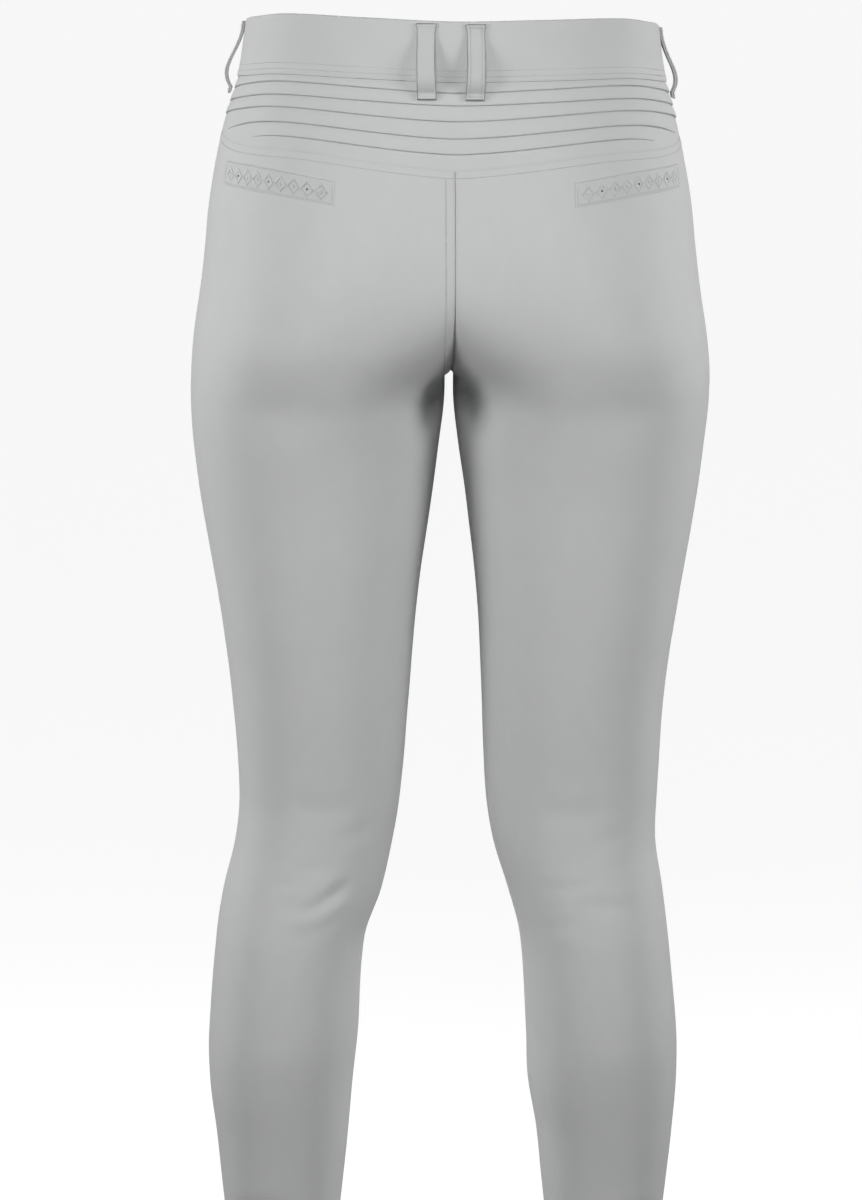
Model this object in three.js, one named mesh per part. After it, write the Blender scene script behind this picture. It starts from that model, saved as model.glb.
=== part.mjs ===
// Riding breeches, filled out as worn, standing with the feet a little apart.
// Millimetres, +Z up. The front faces -Y, the wearer's left is +X, and the origin is the centre of the waist opening,
// level with the top edge of the waistband. The cloth is one set of walls laid on one worn surface:
// every piece is a patch of that surface, moved out or in by its own thickness.
import * as THREE from "three";

// Driving sizes
const CLOTH = 2; // wall of a single panel
const SEAM_GAP = 0.3; // between two pieces at a seam
const CROTCH_Z = -246;
const CROTCH_ROUNDING = 2.5; // height over which the legs part
const HEM_Z = -903;
const SEAT_FOLD_Z = -168; // where the centre back starts to curve under
const FRONT_FOLD_Z = -175; // where the centre front starts to curve under
const SECTION_POWER = 2.12; // roundness of every section, 2 is an ellipse
const SIDE_SEAM_FORWARD = 8; // the side seam lies this far in front of the widest line
const INNER_GRID_SHARE = 1.4; // how the grid's columns are shared out between the inner and outer leg
const TURNS_FROM_Z = -110; // where those of the inner leg start to follow equal turns of the section
const LEG_SETTLES_OVER = 60; // height below the crotch over which a leg's deepest line comes to its own middle

// The waistband and its overlap at the front
const BAND_HEIGHT = 40;
const BAND_WALL = 2.8;
const BAND_PROUD = 1.2; // how far the band stands out from the panels' face
const BAND_UNDER = 24; // the under end, past the centre front
const BAND_OVER = 20; // the tab, past the centre front the other way
const TAB_RAMP = [30, 64]; // where the tab lifts off the panels, from the centre front

// The tucked back yoke
const TUCK_PROUD = 1.6; // how far the lower lip of a tuck stands out
const TUCK_LIP = 0.5; // height of the lip's underside
const TUCK_MIDDLE = 0.7; // how much of the lip's rise the tuck has halfway up
const SIDE_SEAM_SHARE = 0.0007; // the side seam's half gap, as a share of the way from the centre back

// Belt loops, pocket welts, fly, button, hem
const LOOP_WIDTH = 12;
const LOOP_WALL = 1.9;
const LOOP_TOP = 2;
const LOOP_BOTTOM = 52;
const LOOP_STITCHED = 0.08; // how much of its length is sewn flat at either end
const LOOP_BOW_LOW = 1.9; // above 1 the widest place is below the middle
const LOOP_BOW_FULL = 0.8; // below 1 the bow is fuller than a plain arch
const LOOP_STEP = { from: 0.6, to: 0.9, out: 1.85 }; // where it steps from the band out over the tucks
const WELT_WALL = 1.2;
const WELT_HEIGHT = 17;
const FLY_WALL = 1.2;
const FLY_WIDTH = 36;
const FLY_EDGE = 3; // the fly's free edge, past the centre front
const FLY_CURVE_FROM = 136;
const FLY_END = 178;
const FLY_FOOT = 0.985; // below 1 the foot keeps a little width
const FLY_ROWS_CLOSE_UP = 1.35; // above 1 the rows stand closer toward the curved foot
const BUTTON_RADIUS = 7.5;
const BUTTON_RISE = 3;
const BUTTON_EDGE = 0.7; // height of its rolled edge
const BUTTON_ACROSS = 6; // from the centre front toward the wearer's left
const HEM_HEIGHT = 20;
const HEM_PROUD = 0.8;

// Horizontal sections of the worn surface. The outer line of each leg is measured sideways from the middle of the body,
// front and back are the depths, and lobe is how far sideways a section is deepest, down to the crotch.
const SECTIONS = [
  { z: 0, outerL: 138.5, outerR: 142, front: 95, back: 99, lobe: 0 },
  { z: -27, outerL: 142, outerR: 145, front: 97, back: 103, lobe: 1 },
  { z: -42, outerL: 145.5, outerR: 148.5, front: 99, back: 106, lobe: 3 },
  { z: -70, outerL: 154.5, outerR: 156, front: 101, back: 113, lobe: 9 },
  { z: -100, outerL: 161, outerR: 162, front: 103, back: 120, lobe: 20 },
  { z: -130, outerL: 166, outerR: 166.5, front: 104, back: 126, lobe: 34 },
  { z: -160, outerL: 169, outerR: 169.5, front: 104, back: 130, lobe: 50 },
  { z: -190, outerL: 172.5, outerR: 173, front: 102.5, back: 130.5, lobe: 66 },
  { z: -220, outerL: 177, outerR: 177.5, front: 100, back: 126, lobe: 80 },
  { z: -246, outerL: 179, outerR: 180, front: 97, back: 117.5, lobe: 88 },
  { z: -270, outerL: 179.5, outerR: 179.5, front: 94.5, back: 108.5, lobe: 91.5 },
  { z: -300, outerL: 177.5, outerR: 176.5, front: 92, back: 100, lobe: 92 },
  { z: -335, outerL: 173, outerR: 172, front: 90, back: 92.5, lobe: 92 },
  { z: -405, outerL: 161.5, outerR: 160.5, front: 84, back: 81, lobe: 91 },
  { z: -475, outerL: 152.5, outerR: 150.5, front: 75, back: 69, lobe: 90 },
  { z: -545, outerL: 148, outerR: 146.5, front: 66, back: 58, lobe: 90 },
  { z: -580, outerL: 151, outerR: 145.5, front: 60.5, back: 57, lobe: 92 },
  { z: -615, outerL: 159.5, outerR: 150.5, front: 55, back: 60, lobe: 99 },
  { z: -650, outerL: 165, outerR: 155, front: 50.5, back: 64, lobe: 107 },
  { z: -720, outerL: 170.5, outerR: 161.5, front: 44.5, back: 65, lobe: 111 },
  { z: -755, outerL: 170, outerR: 161.5, front: 41.5, back: 60, lobe: 112 },
  { z: -790, outerL: 166, outerR: 159, front: 39, back: 53, lobe: 112 },
  { z: -825, outerL: 162.5, outerR: 155.5, front: 37, back: 47, lobe: 113 },
  { z: -865, outerL: 158.5, outerR: 151, front: 35, back: 42.5, lobe: 113 },
  { z: -903, outerL: 155.5, outerR: 148, front: 34, back: 41, lobe: 113 },
];

// The inner line of each leg, from the crotch down.
const INNER_LEG = [
  { z: -246, left: 3.4, right: 2.4 },
  { z: -270, left: 4, right: 2.6 },
  { z: -300, left: 8, right: 6 },
  { z: -335, left: 12.5, right: 11 },
  { z: -405, left: 22.5, right: 19 },
  { z: -475, left: 28.5, right: 22.5 },
  { z: -545, left: 34.5, right: 25.5 },
  { z: -580, left: 40, right: 30.5 },
  { z: -615, left: 48, right: 41 },
  { z: -650, left: 60, right: 50 },
  { z: -720, left: 65, right: 54.5 },
  { z: -755, left: 69, right: 56 },
  { z: -790, left: 72, right: 62 },
  { z: -825, left: 75.5, right: 65.5 },
  { z: -865, left: 80, right: 70 },
  { z: -903, left: 84, right: 74.5 },
];

// How far behind the innermost line of the leg the inseam runs.
const INSEAM_BACK = [
  { z: -246, arc: 0 },
  { z: -360, arc: 0 },
  { z: -560, arc: 16 },
  { z: -720, arc: 14 },
  { z: -903, arc: 6 },
];

// The top edge isn't level: its height over z = 0 from the centre front (0) past the side seam (0.5) to the centre back (1).
const TOP_EDGE = [
  { u: 0, rise: -15 },
  { u: 0.25, rise: -12 },
  { u: 0.5, rise: -8.5 },
  { u: 0.6, rise: -5 },
  { u: 0.7, rise: -1.2 },
  { u: 0.85, rise: -1.8 },
  { u: 1, rise: -3.3 },
];
const TOP_EDGE_FADES_AT = -200;
const WAIST_TILT = 0.016; // the waist is worn a little lower on the wearer's right
const WAIST_TILT_FADES_AT = -230;

// Depths below the top edge of the five tucks and of the yoke's lower seam: at the centre back, over the hip and at the
// line's own end. An end is a share of the way from the centre back to the side seam; past it a tuck has faded out.
const TUCKS = [
  { centre: 47, hip: 44.6, last: 49.5, end: 1.02 },
  { centre: 55.5, hip: 53.3, last: 59, end: 1.02 },
  { centre: 66, hip: 61.4, last: 68, end: 1.02 },
  { centre: 77.5, hip: 71.2, last: 76.8, end: 0.84 },
  { centre: 88, hip: 80.3, last: 82, end: 0.67 },
];
const YOKE_SEAM = { centre: 99, hip: 89.2, last: 74, end: 1 };
const HIP_AT = 0.55; // the hip column's place, as such a share
const TUCK_FADE = 0.06; // over which a tuck fades out, as such a share
const TUCK_SPACE = 1.8; // least height between two faded tucks

// Belt loops: where each is sewn on, as a distance sideways from the centre back or front, or from the side seam
// backward, and how far it bows out.
const LOOPS = [
  { name: "belt_loop_back_left", side: 1, from: "back", arc: 18.7, bow: 6.4 },
  { name: "belt_loop_back_right", side: -1, from: "back", arc: 13.8, bow: 6.2 },
  { name: "belt_loop_side_left", side: 1, from: "side", arc: 4, bow: 6.6 },
  { name: "belt_loop_side_right", side: -1, from: "side", arc: 4, bow: 5.8 },
  { name: "belt_loop_front_left", side: 1, from: "front", arc: 92, bow: 5 },
  { name: "belt_loop_front_right", side: -1, from: "front", arc: 92, bow: 5 },
];

// Top edge of a pocket welt: distance round from the centre back, and level of the edge.
const WELT_EDGE = [
  { arc: 80.5, z: -107.2 },
  { arc: 121, z: -102.3 },
  { arc: 183, z: -97.3 },
];

const PIECE_COLOURS = {
  cloth: 0xc3c4c5,
  trim: 0xbdbebf,
  button: 0x9fa1a3,
};

const clamp = (x, low, high) => Math.min(high, Math.max(low, x));
const mix = (a, b, t) => a + (b - a) * t;
const smooth = (x) => clamp(x, 0, 1) ** 2 * (3 - 2 * clamp(x, 0, 1));

// A smooth curve through a table's rows: the value of column key where column along is x.
function tableAt(rows, along, key, x) {
  const upward = rows[rows.length - 1][along] > rows[0][along];
  const place = (row) => (upward ? row[along] : -row[along]);
  const target = clamp(upward ? x : -x, place(rows[0]), place(rows[rows.length - 1]));
  let i = rows.findIndex((row, n) => n > 0 && target <= place(row)) - 1;
  i = Math.max(0, i);
  const slope = (n) => {
    const before = rows[Math.max(0, n - 1)];
    const after = rows[Math.min(rows.length - 1, n + 1)];
    return (after[key] - before[key]) / (place(after) - place(before));
  };
  const span = place(rows[i + 1]) - place(rows[i]);
  const t = (target - place(rows[i])) / span;
  const h00 = (1 + 2 * t) * (1 - t) ** 2;
  const h10 = t * (1 - t) ** 2;
  const h01 = t * t * (3 - 2 * t);
  const h11 = t * t * (t - 1);
  return (
    h00 * rows[i][key] + h10 * span * slope(i) + h01 * rows[i + 1][key] + h11 * span * slope(i + 1)
  );
}

// How much of the full depth is left at the centre line, where the rise curves under to the crotch.
function riseShare(z, foldZ) {
  const drop = clamp((foldZ - z) / (foldZ - CROTCH_Z), 0, 1);
  return Math.sqrt(1 - drop ** 3);
}

// The legs part at the crotch with a small rounded top, then follow the table.
function innerAt(side, z) {
  if (z >= CROTCH_Z) return 0;
  const opening = Math.sqrt(Math.min(1, (CROTCH_Z - z) / CROTCH_ROUNDING));
  return opening * tableAt(INNER_LEG, "z", side > 0 ? "left" : "right", z);
}

// One quarter of a section, from its deepest point (q = 0) to its end (q = 90 degrees). reach is how far sideways the
// end lies, and share is the depth that is left there.
function quarterPoint(lobe, reach, depth, share, q) {
  const gone = (1 - share ** SECTION_POWER) * Math.sin(q) ** SECTION_POWER;
  return [lobe + reach * Math.sin(q), depth * Math.max(0, 1 - gone) ** (1 / SECTION_POWER)];
}

const QUARTER_STEPS = 36;
const sectionCache = new Map();

// Half of the section at level z, as a polyline from the centre front or inseam, round the side, to the centre back or
// inseam, with its running length.
function halfSection(side, z) {
  const cacheKey = side + ":" + z.toFixed(4);
  if (sectionCache.has(cacheKey)) return sectionCache.get(cacheKey);
  const outer = tableAt(SECTIONS, "z", side > 0 ? "outerL" : "outerR", z);
  const front = tableAt(SECTIONS, "z", "front", z);
  const back = tableAt(SECTIONS, "z", "back", z);
  const inner = innerAt(side, z);
  const below = clamp((CROTCH_Z - z) / LEG_SETTLES_OVER, 0, 1);
  const lobe = mix(tableAt(SECTIONS, "z", "lobe", z), (outer + inner) / 2, below);
  const quarters = [
    { reach: inner - lobe, depth: -front, share: z > CROTCH_Z ? riseShare(z, FRONT_FOLD_Z) : 0, inward: true },
    { reach: outer - lobe, depth: -front, share: 0, inward: false },
    { reach: outer - lobe, depth: back, share: 0, inward: true },
    { reach: inner - lobe, depth: back, share: z > CROTCH_Z ? riseShare(z, SEAT_FOLD_Z) : 0, inward: false },
  ];
  const points = [];
  const length = [];
  for (const quarter of quarters) {
    for (let i = points.length ? 1 : 0; i <= QUARTER_STEPS; i++) {
      const turn = quarter.inward ? QUARTER_STEPS - i : i;
      const q = ((Math.PI / 2) * turn) / QUARTER_STEPS;
      const point = quarterPoint(lobe, quarter.reach, quarter.depth, quarter.share, q);
      const last = points[points.length - 1];
      length.push(last ? length[length.length - 1] + Math.hypot(point[0] - last[0], point[1] - last[1]) : 0);
      points.push(point);
    }
  }
  const inseam = -tableAt(INSEAM_BACK, "z", "arc", z);
  const total = length[length.length - 1];
  const section = {
    points,
    length,
    total,
    start: inseam,
    frontLobe: length[QUARTER_STEPS],
    side: length[2 * QUARTER_STEPS] - SIDE_SEAM_FORWARD,
    backLobe: length[3 * QUARTER_STEPS],
    end: total + inseam,
    turnShare: turnShare(z),
  };
  const innerWidth = INNER_GRID_SHARE * Math.abs(inner - lobe);
  section.frontSplit = (section.side - section.frontLobe) / (section.side - section.frontLobe + innerWidth);
  section.backSplit = (section.backLobe - section.side) / (section.backLobe - section.side + innerWidth);
  sectionCache.set(cacheKey, section);
  return section;
}

// The point of a section at a running length; a closed leg section runs on past its inseam.
function alongSection(section, arc) {
  const { points, length, total } = section;
  const wrapped = arc < 0 ? arc + total : arc;
  let low = 0;
  let high = length.length - 1;
  while (high - low > 1) {
    const middle = (low + high) >> 1;
    if (length[middle] <= wrapped) low = middle;
    else high = middle;
  }
  const t = clamp((wrapped - length[low]) / (length[high] - length[low]), 0, 1);
  return [mix(points[low][0], points[high][0], t), mix(points[low][1], points[high][1], t)];
}

// How far the columns of the inner leg follow equal turns of the section instead of equal lengths.
function turnShare(z) {
  return smooth((TURNS_FROM_Z - z) / (TURNS_FROM_Z - CROTCH_Z));
}

// Running length at a place u round half the body: 0 at the centre front or inseam, 0.5 at the side seam and 1 at the
// centre back or inseam. The deepest line of the section keeps its own place, so that the grid doesn't shear.
function arcAtU(section, u) {
  const isBack = u > 0.5;
  const towardCentre = Math.abs(2 * u - 1);
  const split = isBack ? section.backSplit : section.frontSplit;
  const lobe = isBack ? section.backLobe : section.frontLobe;
  if (towardCentre <= split) return mix(section.side, lobe, towardCentre / split);
  return innerArc(section, isBack, (towardCentre - split) / (1 - split));
}

// Running length from the deepest line (share 0) to the centre or inseam (share 1).
function innerArc(section, isBack, share) {
  const lobe = isBack ? section.backLobe : section.frontLobe;
  const centre = isBack ? section.end : section.start;
  const fullTurn = isBack ? section.total : 0;
  const place = isBack ? (3 + share) * QUARTER_STEPS : (1 - share) * QUARTER_STEPS;
  const below = Math.min(Math.floor(place), section.length.length - 2);
  const turned = mix(section.length[below], section.length[below + 1], place - below);
  const byTurn = lobe + ((turned - lobe) * (centre - lobe)) / (fullTurn - lobe);
  return mix(mix(lobe, centre, share), byTurn, section.turnShare);
}

// The place u of a running length.
function uAtArc(section, arc) {
  const isBack = arc > section.side;
  const split = isBack ? section.backSplit : section.frontSplit;
  const lobe = isBack ? section.backLobe : section.frontLobe;
  const toLobe = (arc - section.side) / (lobe - section.side);
  if (toLobe <= 1) return isBack ? 0.5 + (toLobe * split) / 2 : 0.5 - (toLobe * split) / 2;
  let low = 0;
  let high = 1;
  for (let n = 0; n < 40; n++) {
    const middle = (low + high) / 2;
    const past = isBack ? innerArc(section, isBack, middle) > arc : innerArc(section, isBack, middle) < arc;
    if (past) high = middle;
    else low = middle;
  }
  const towardCentre = mix(split, 1, low);
  return isBack ? 0.5 + towardCentre / 2 : 0.5 - towardCentre / 2;
}

// How far the waist's own wave and tilt lift a place.
function waistRise(x, u, z) {
  const wave = tableAt(TOP_EDGE, "u", "rise", u) * (1 - smooth(z / TOP_EDGE_FADES_AT));
  return wave + WAIST_TILT * x * (1 - smooth(z / WAIST_TILT_FADES_AT));
}

// The worn surface: u as above, and z is the level before the top edge's own wave is added.
function surfacePoint(side, u, z) {
  const section = halfSection(side, z);
  const [x, y] = alongSection(section, arcAtU(section, u));
  return new THREE.Vector3(side * x, y, z + waistRise(side * x, u, z));
}

// The outward direction of the surface.
function surfaceNormal(side, u, z) {
  const du = 0.004;
  const dz = 1;
  const low = Math.max(0, u - du);
  const high = Math.min(1, u + du);
  const round = surfacePoint(side, high, z).sub(surfacePoint(side, low, z));
  const up = surfacePoint(side, u, Math.min(0, z + dz)).sub(surfacePoint(side, u, Math.max(HEM_Z, z - dz)));
  return up.cross(round).multiplyScalar(-side).normalize();
}

// Distance round from the centre back, the centre front or the side seam, as u.
function uFrom(landmark, side, z, distance) {
  const section = halfSection(side, z);
  if (landmark === "front") return uAtArc(section, distance);
  if (landmark === "back") return uAtArc(section, section.end - distance);
  return uAtArc(section, section.side + distance);
}

// One closed wall: a grid of places, each giving a point of the surface with its outer and inner offset.
function clothWall(columns, rows, place) {
  const outer = [];
  const inner = [];
  for (let j = 0; j <= rows; j++) {
    for (let i = 0; i <= columns; i++) {
      const { point, normal, out, wall, keepSide } = place(i / columns, j / rows, i, j);
      const face = point.clone().addScaledVector(normal, out);
      const lining = point.clone().addScaledVector(normal, out - wall);
      if (keepSide) {
        for (const p of [face, lining]) p.x = keepSide * Math.max(keepSide * p.x, SEAM_GAP / 2);
      }
      outer.push(face);
      inner.push(lining);
    }
  }
  return shellGeometry(outer, inner, columns, rows);
}

// Joins an outer and an inner grid of points into one closed body facing out.
function shellGeometry(outer, inner, columns, rows) {
  const positions = new Float32Array([...outer, ...inner].flatMap((p) => [p.x, p.y, p.z]));
  const across = columns + 1;
  const far = outer.length;
  const at = (i, j) => j * across + i;
  const triangles = [];
  const quad = (a, b, c, d) => triangles.push([a, b, c], [a, c, d]);
  for (let j = 0; j < rows; j++) {
    for (let i = 0; i < columns; i++) {
      quad(at(i, j), at(i, j + 1), at(i + 1, j + 1), at(i + 1, j));
      quad(far + at(i, j), far + at(i + 1, j), far + at(i + 1, j + 1), far + at(i, j + 1));
    }
  }
  for (let i = 0; i < columns; i++) {
    quad(at(i, 0), at(i + 1, 0), far + at(i + 1, 0), far + at(i, 0));
    quad(at(i + 1, rows), at(i, rows), far + at(i, rows), far + at(i + 1, rows));
  }
  for (let j = 0; j < rows; j++) {
    quad(at(0, j + 1), at(0, j), far + at(0, j), far + at(0, j + 1));
    quad(at(columns, j), at(columns, j + 1), far + at(columns, j + 1), far + at(columns, j));
  }
  const corner = (n) => new THREE.Vector3().fromArray(positions, 3 * n);
  let volume = 0;
  for (const [a, b, c] of triangles) volume += corner(a).dot(corner(b).cross(corner(c)));
  if (volume < 0) triangles.forEach((t) => t.reverse());
  const geometry = new THREE.BufferGeometry();
  geometry.setAttribute("position", new THREE.BufferAttribute(positions, 3));
  geometry.setIndex(triangles.flat());
  geometry.computeVertexNormals();
  return geometry;
}

const breeches = new THREE.Group();

function addPiece(name, geometry, colour) {
  const material = new THREE.MeshStandardMaterial({ color: colour, roughness: 0.85, metalness: 0 });
  const mesh = new THREE.Mesh(geometry, material);
  mesh.name = name;
  breeches.add(mesh);
}

// Depth below the top edge of a tuck or seam, a share of the way from the centre back to the side seam.
function yokeDepth(line, share) {
  if (share < HIP_AT) return mix(line.centre, line.hip, smooth(share / HIP_AT));
  return mix(line.hip, line.last, ((share - HIP_AT) / (line.end - HIP_AT)) ** 2);
}

// The same for tuck n, kept clear of the seam below it.
function tuckDepth(n, share) {
  const room = TUCK_SPACE * (TUCKS.length - n);
  return Math.min(yokeDepth(TUCKS[n], share), yokeDepth(YOKE_SEAM, share) - room);
}

// Levels down the centre line from a panel's top to the crotch, evenly spaced along the curve of the rise.
function riseLevels(topZ, foldZ, depthKey, count) {
  const steps = 240;
  const places = [];
  for (let i = 0; i <= steps; i++) {
    const z = mix(topZ, CROTCH_Z, 1 - (1 - i / steps) ** 2);
    const y = tableAt(SECTIONS, "z", depthKey, z) * riseShare(z, foldZ);
    const last = places[places.length - 1];
    places.push({ y, z, length: last ? last.length + Math.hypot(y - last.y, z - last.z) : 0 });
  }
  const total = places[steps].length;
  return Array.from({ length: count + 1 }, (_, n) => {
    const wanted = (total * n) / count;
    const next = Math.max(1, places.findIndex((place) => place.length >= wanted - 1e-6));
    const before = places[next - 1];
    const t = clamp((wanted - before.length) / (places[next].length - before.length), 0, 1);
    return mix(before.z, places[next].z, t);
  });
}

// count levels after the first, evenly spaced.
function evenLevels(from, to, count) {
  return Array.from({ length: count }, (_, n) => mix(from, to, (n + 1) / count));
}

// A leg panel, front or back, from its top seam over the rise and down to the hem. Its rows run level at the top and
// the hem, and slope up to the crotch between them.
function legPanel(side, isBack) {
  const columns = 13;
  const riseRows = 11;
  const legRows = 17;
  const sideAtCrotch = CROTCH_Z - 54;
  const belowCrotch = [0.6, 2.5, 9];
  const aboveHem = 26;
  const hemStep = 0.4; // height over which the turned hem steps out
  const staysLevel = 4; // power: how far from the centre the rows stay with the side's levels
  const topDepth = (towardCentre) => (isBack ? yokeDepth(YOKE_SEAM, 1 - towardCentre) : BAND_HEIGHT) + SEAM_GAP / 2;
  const hemTop = HEM_Z + HEM_HEIGHT;
  const hemLevels = [hemTop + hemStep, hemTop, HEM_Z];
  const foldZ = isBack ? SEAT_FOLD_Z : FRONT_FOLD_Z;
  const centreLevels = [
    ...riseLevels(-topDepth(1), foldZ, isBack ? "back" : "front", riseRows),
    ...belowCrotch.map((below) => CROTCH_Z - below),
    ...evenLevels(CROTCH_Z - belowCrotch[2], hemTop + aboveHem, legRows),
    ...hemLevels,
  ];
  const sideLevels = [
    -topDepth(0),
    ...evenLevels(-topDepth(0), sideAtCrotch, riseRows),
    ...evenLevels(sideAtCrotch, hemTop + aboveHem, belowCrotch.length + legRows),
    ...hemLevels,
  ];
  const levelAt = (j, towardCentre) => mix(sideLevels[j], centreLevels[j], towardCentre ** staysLevel);
  return clothWall(columns, centreLevels.length - 1, (towardCentre, t, i, j) => {
    const seamOffset = -topDepth(towardCentre) - levelAt(0, towardCentre);
    const z = levelAt(j, towardCentre) + seamOffset * clamp(1 - j / riseRows, 0, 1) ** 2;
    const section = halfSection(side, z);
    const seamSide = section.side + (isBack ? SEAM_GAP / 2 : -SEAM_GAP / 2);
    const seamCentre = isBack ? section.end - SEAM_GAP / 2 : section.start + SEAM_GAP / 2;
    let u = isBack ? 0.5 + towardCentre / 2 : 0.5 - towardCentre / 2;
    if (i === 0) u = uAtArc(section, seamSide);
    if (i === columns && j >= riseRows) u = uAtArc(section, seamCentre);
    const normal = surfaceNormal(side, u, z);
    if (i === columns && j < riseRows) normal.setX(0).normalize();
    const hem = j >= centreLevels.length - 2 ? HEM_PROUD : 0;
    return { point: surfacePoint(side, u, z), normal, out: hem, wall: CLOTH + hem, keepSide: side };
  });
}

// A place on the back, by its distance from the centre: side and u, from a share of the way to the side seam.
const backU = (share) => 1 - share / 2;

// The back yoke, side seam to side seam, its outer face stepped by the tucks.
function backYoke() {
  const columns = 34;
  const lines = [];
  lines.push({ depth: () => BAND_HEIGHT + SEAM_GAP / 2, out: () => 0 });
  TUCKS.forEach((tuck, n) => {
    const height = (share) => TUCK_PROUD * (1 - smooth((share - tuck.end) / TUCK_FADE + 1));
    const above = (share) => (n ? tuckDepth(n - 1, share) : BAND_HEIGHT);
    const middle = (share) => mix(above(share), tuckDepth(n, share), 0.5);
    lines.push({ depth: middle, out: (share) => TUCK_MIDDLE * height(share) });
    lines.push({ depth: (share) => tuckDepth(n, share) - TUCK_LIP, out: height });
    lines.push({ depth: (share) => tuckDepth(n, share), out: () => 0 });
  });
  lines.push({ depth: (share) => yokeDepth(YOKE_SEAM, share) - SEAM_GAP / 2, out: () => 0 });
  return clothWall(columns, lines.length - 1, (s, t, i, j) => {
    const signed = 2 * s - 1; // -1 at the right side seam, 1 at the left
    const side = signed < 0 ? -1 : 1;
    const share = Math.min(Math.abs(signed), 1 - SIDE_SEAM_SHARE);
    const line = lines[j];
    const z = -line.depth(share);
    const out = line.out(share);
    return {
      point: surfacePoint(side, backU(share), z),
      normal: surfaceNormal(side, backU(share), z),
      out,
      wall: CLOTH + out,
    };
  });
}

// A place round the whole waist: distance from the centre front, positive past the wearer's left side, on round the back.
function waistPlace(distance, z) {
  const section = halfSection(1, z);
  const whole = 2 * section.end;
  const turned = ((distance % whole) + whole) % whole;
  const side = turned <= section.end ? 1 : -1;
  return { side, u: uAtArc(section, side > 0 ? turned : whole - turned), whole };
}

// The waistband: one strip that starts under the tab, runs round the body and ends in the tab.
function waistband() {
  const columns = 76;
  const levels = [0, 0.33, 0.67, 1];
  return clothWall(columns, levels.length - 1, (s, t, i, j) => {
    const z = -levels[j] * (BAND_HEIGHT - SEAM_GAP / 2);
    const { whole } = waistPlace(0, z);
    const distance = mix(-BAND_UNDER, whole + BAND_OVER, s);
    const { side, u } = waistPlace(distance, z);
    const pastFront = distance - whole;
    const lift = smooth((pastFront + TAB_RAMP[1]) / (TAB_RAMP[1] - TAB_RAMP[0]));
    const out = BAND_PROUD + lift * (BAND_WALL + SEAM_GAP);
    return { point: surfacePoint(side, u, z), normal: surfaceNormal(side, u, z), out, wall: BAND_WALL };
  });
}

// A belt loop: a strip sewn flat at both ends that bows out between them.
function beltLoop(loop) {
  const steps = 18;
  const u = uFrom(loop.from, loop.side, -BAND_HEIGHT, loop.arc);
  const outer = [];
  const inner = [];
  for (let j = 0; j <= steps; j++) {
    const t = j / steps;
    const z = -mix(LOOP_TOP, LOOP_BOTTOM, t);
    const stepped = smooth((t - LOOP_STEP.from) / (LOOP_STEP.to - LOOP_STEP.from));
    const rest = mix(BAND_PROUD, LOOP_STEP.out, stepped) + SEAM_GAP;
    const bowed = clamp((t - LOOP_STITCHED) / (1 - 2 * LOOP_STITCHED), 0, 1);
    const rise = rest + loop.bow * Math.sin(Math.PI * bowed ** LOOP_BOW_LOW) ** LOOP_BOW_FULL;
    const middle = surfacePoint(loop.side, u, z);
    const normal = surfaceNormal(loop.side, u, z);
    const sideways = new THREE.Vector3(-normal.y, normal.x, 0).normalize();
    for (const edge of [-0.5, 0.5]) {
      const foot = middle.clone().addScaledVector(sideways, edge * LOOP_WIDTH);
      inner.push(foot.clone().addScaledVector(normal, rise));
      outer.push(foot.clone().addScaledVector(normal, rise + LOOP_WALL));
    }
  }
  return shellGeometry(outer, inner, 1, steps);
}

// A pocket welt, lying on the back panel.
function pocketWelt(side) {
  const columns = 12;
  const rows = 2;
  const first = WELT_EDGE[0].arc;
  const last = WELT_EDGE[WELT_EDGE.length - 1].arc;
  return clothWall(columns, rows, (s, t) => {
    const arc = mix(first, last, s);
    const edgeZ = tableAt(WELT_EDGE, "arc", "z", arc);
    const z = edgeZ - t * WELT_HEIGHT;
    const u = uFrom("back", side, z, arc);
    return {
      point: surfacePoint(side, u, z),
      normal: surfaceNormal(side, u, z),
      out: SEAM_GAP + WELT_WALL,
      wall: WELT_WALL,
    };
  });
}

// The fly: a flap from the waistband down, square at its free edge and rounded back to it at the foot.
function fly() {
  const columns = 6;
  const rows = 14;
  return clothWall(columns, rows, (s, t) => {
    const depth = mix(BAND_HEIGHT + SEAM_GAP, FLY_END, 1 - (1 - t) ** FLY_ROWS_CLOSE_UP);
    const curve = clamp((depth - FLY_CURVE_FROM) / (FLY_END - FLY_CURVE_FROM), 0, 1);
    const width = (FLY_WIDTH + FLY_EDGE) * Math.sqrt(1 - FLY_FOOT * curve ** 2);
    const across = FLY_EDGE - s * width;
    const side = across < 0 ? -1 : 1;
    const z = -depth;
    const u = uFrom("front", side, z, Math.abs(across));
    return {
      point: surfacePoint(side, u, z),
      normal: surfaceNormal(side, u, z),
      out: SEAM_GAP + FLY_WALL,
      wall: FLY_WALL,
    };
  });
}

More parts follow.
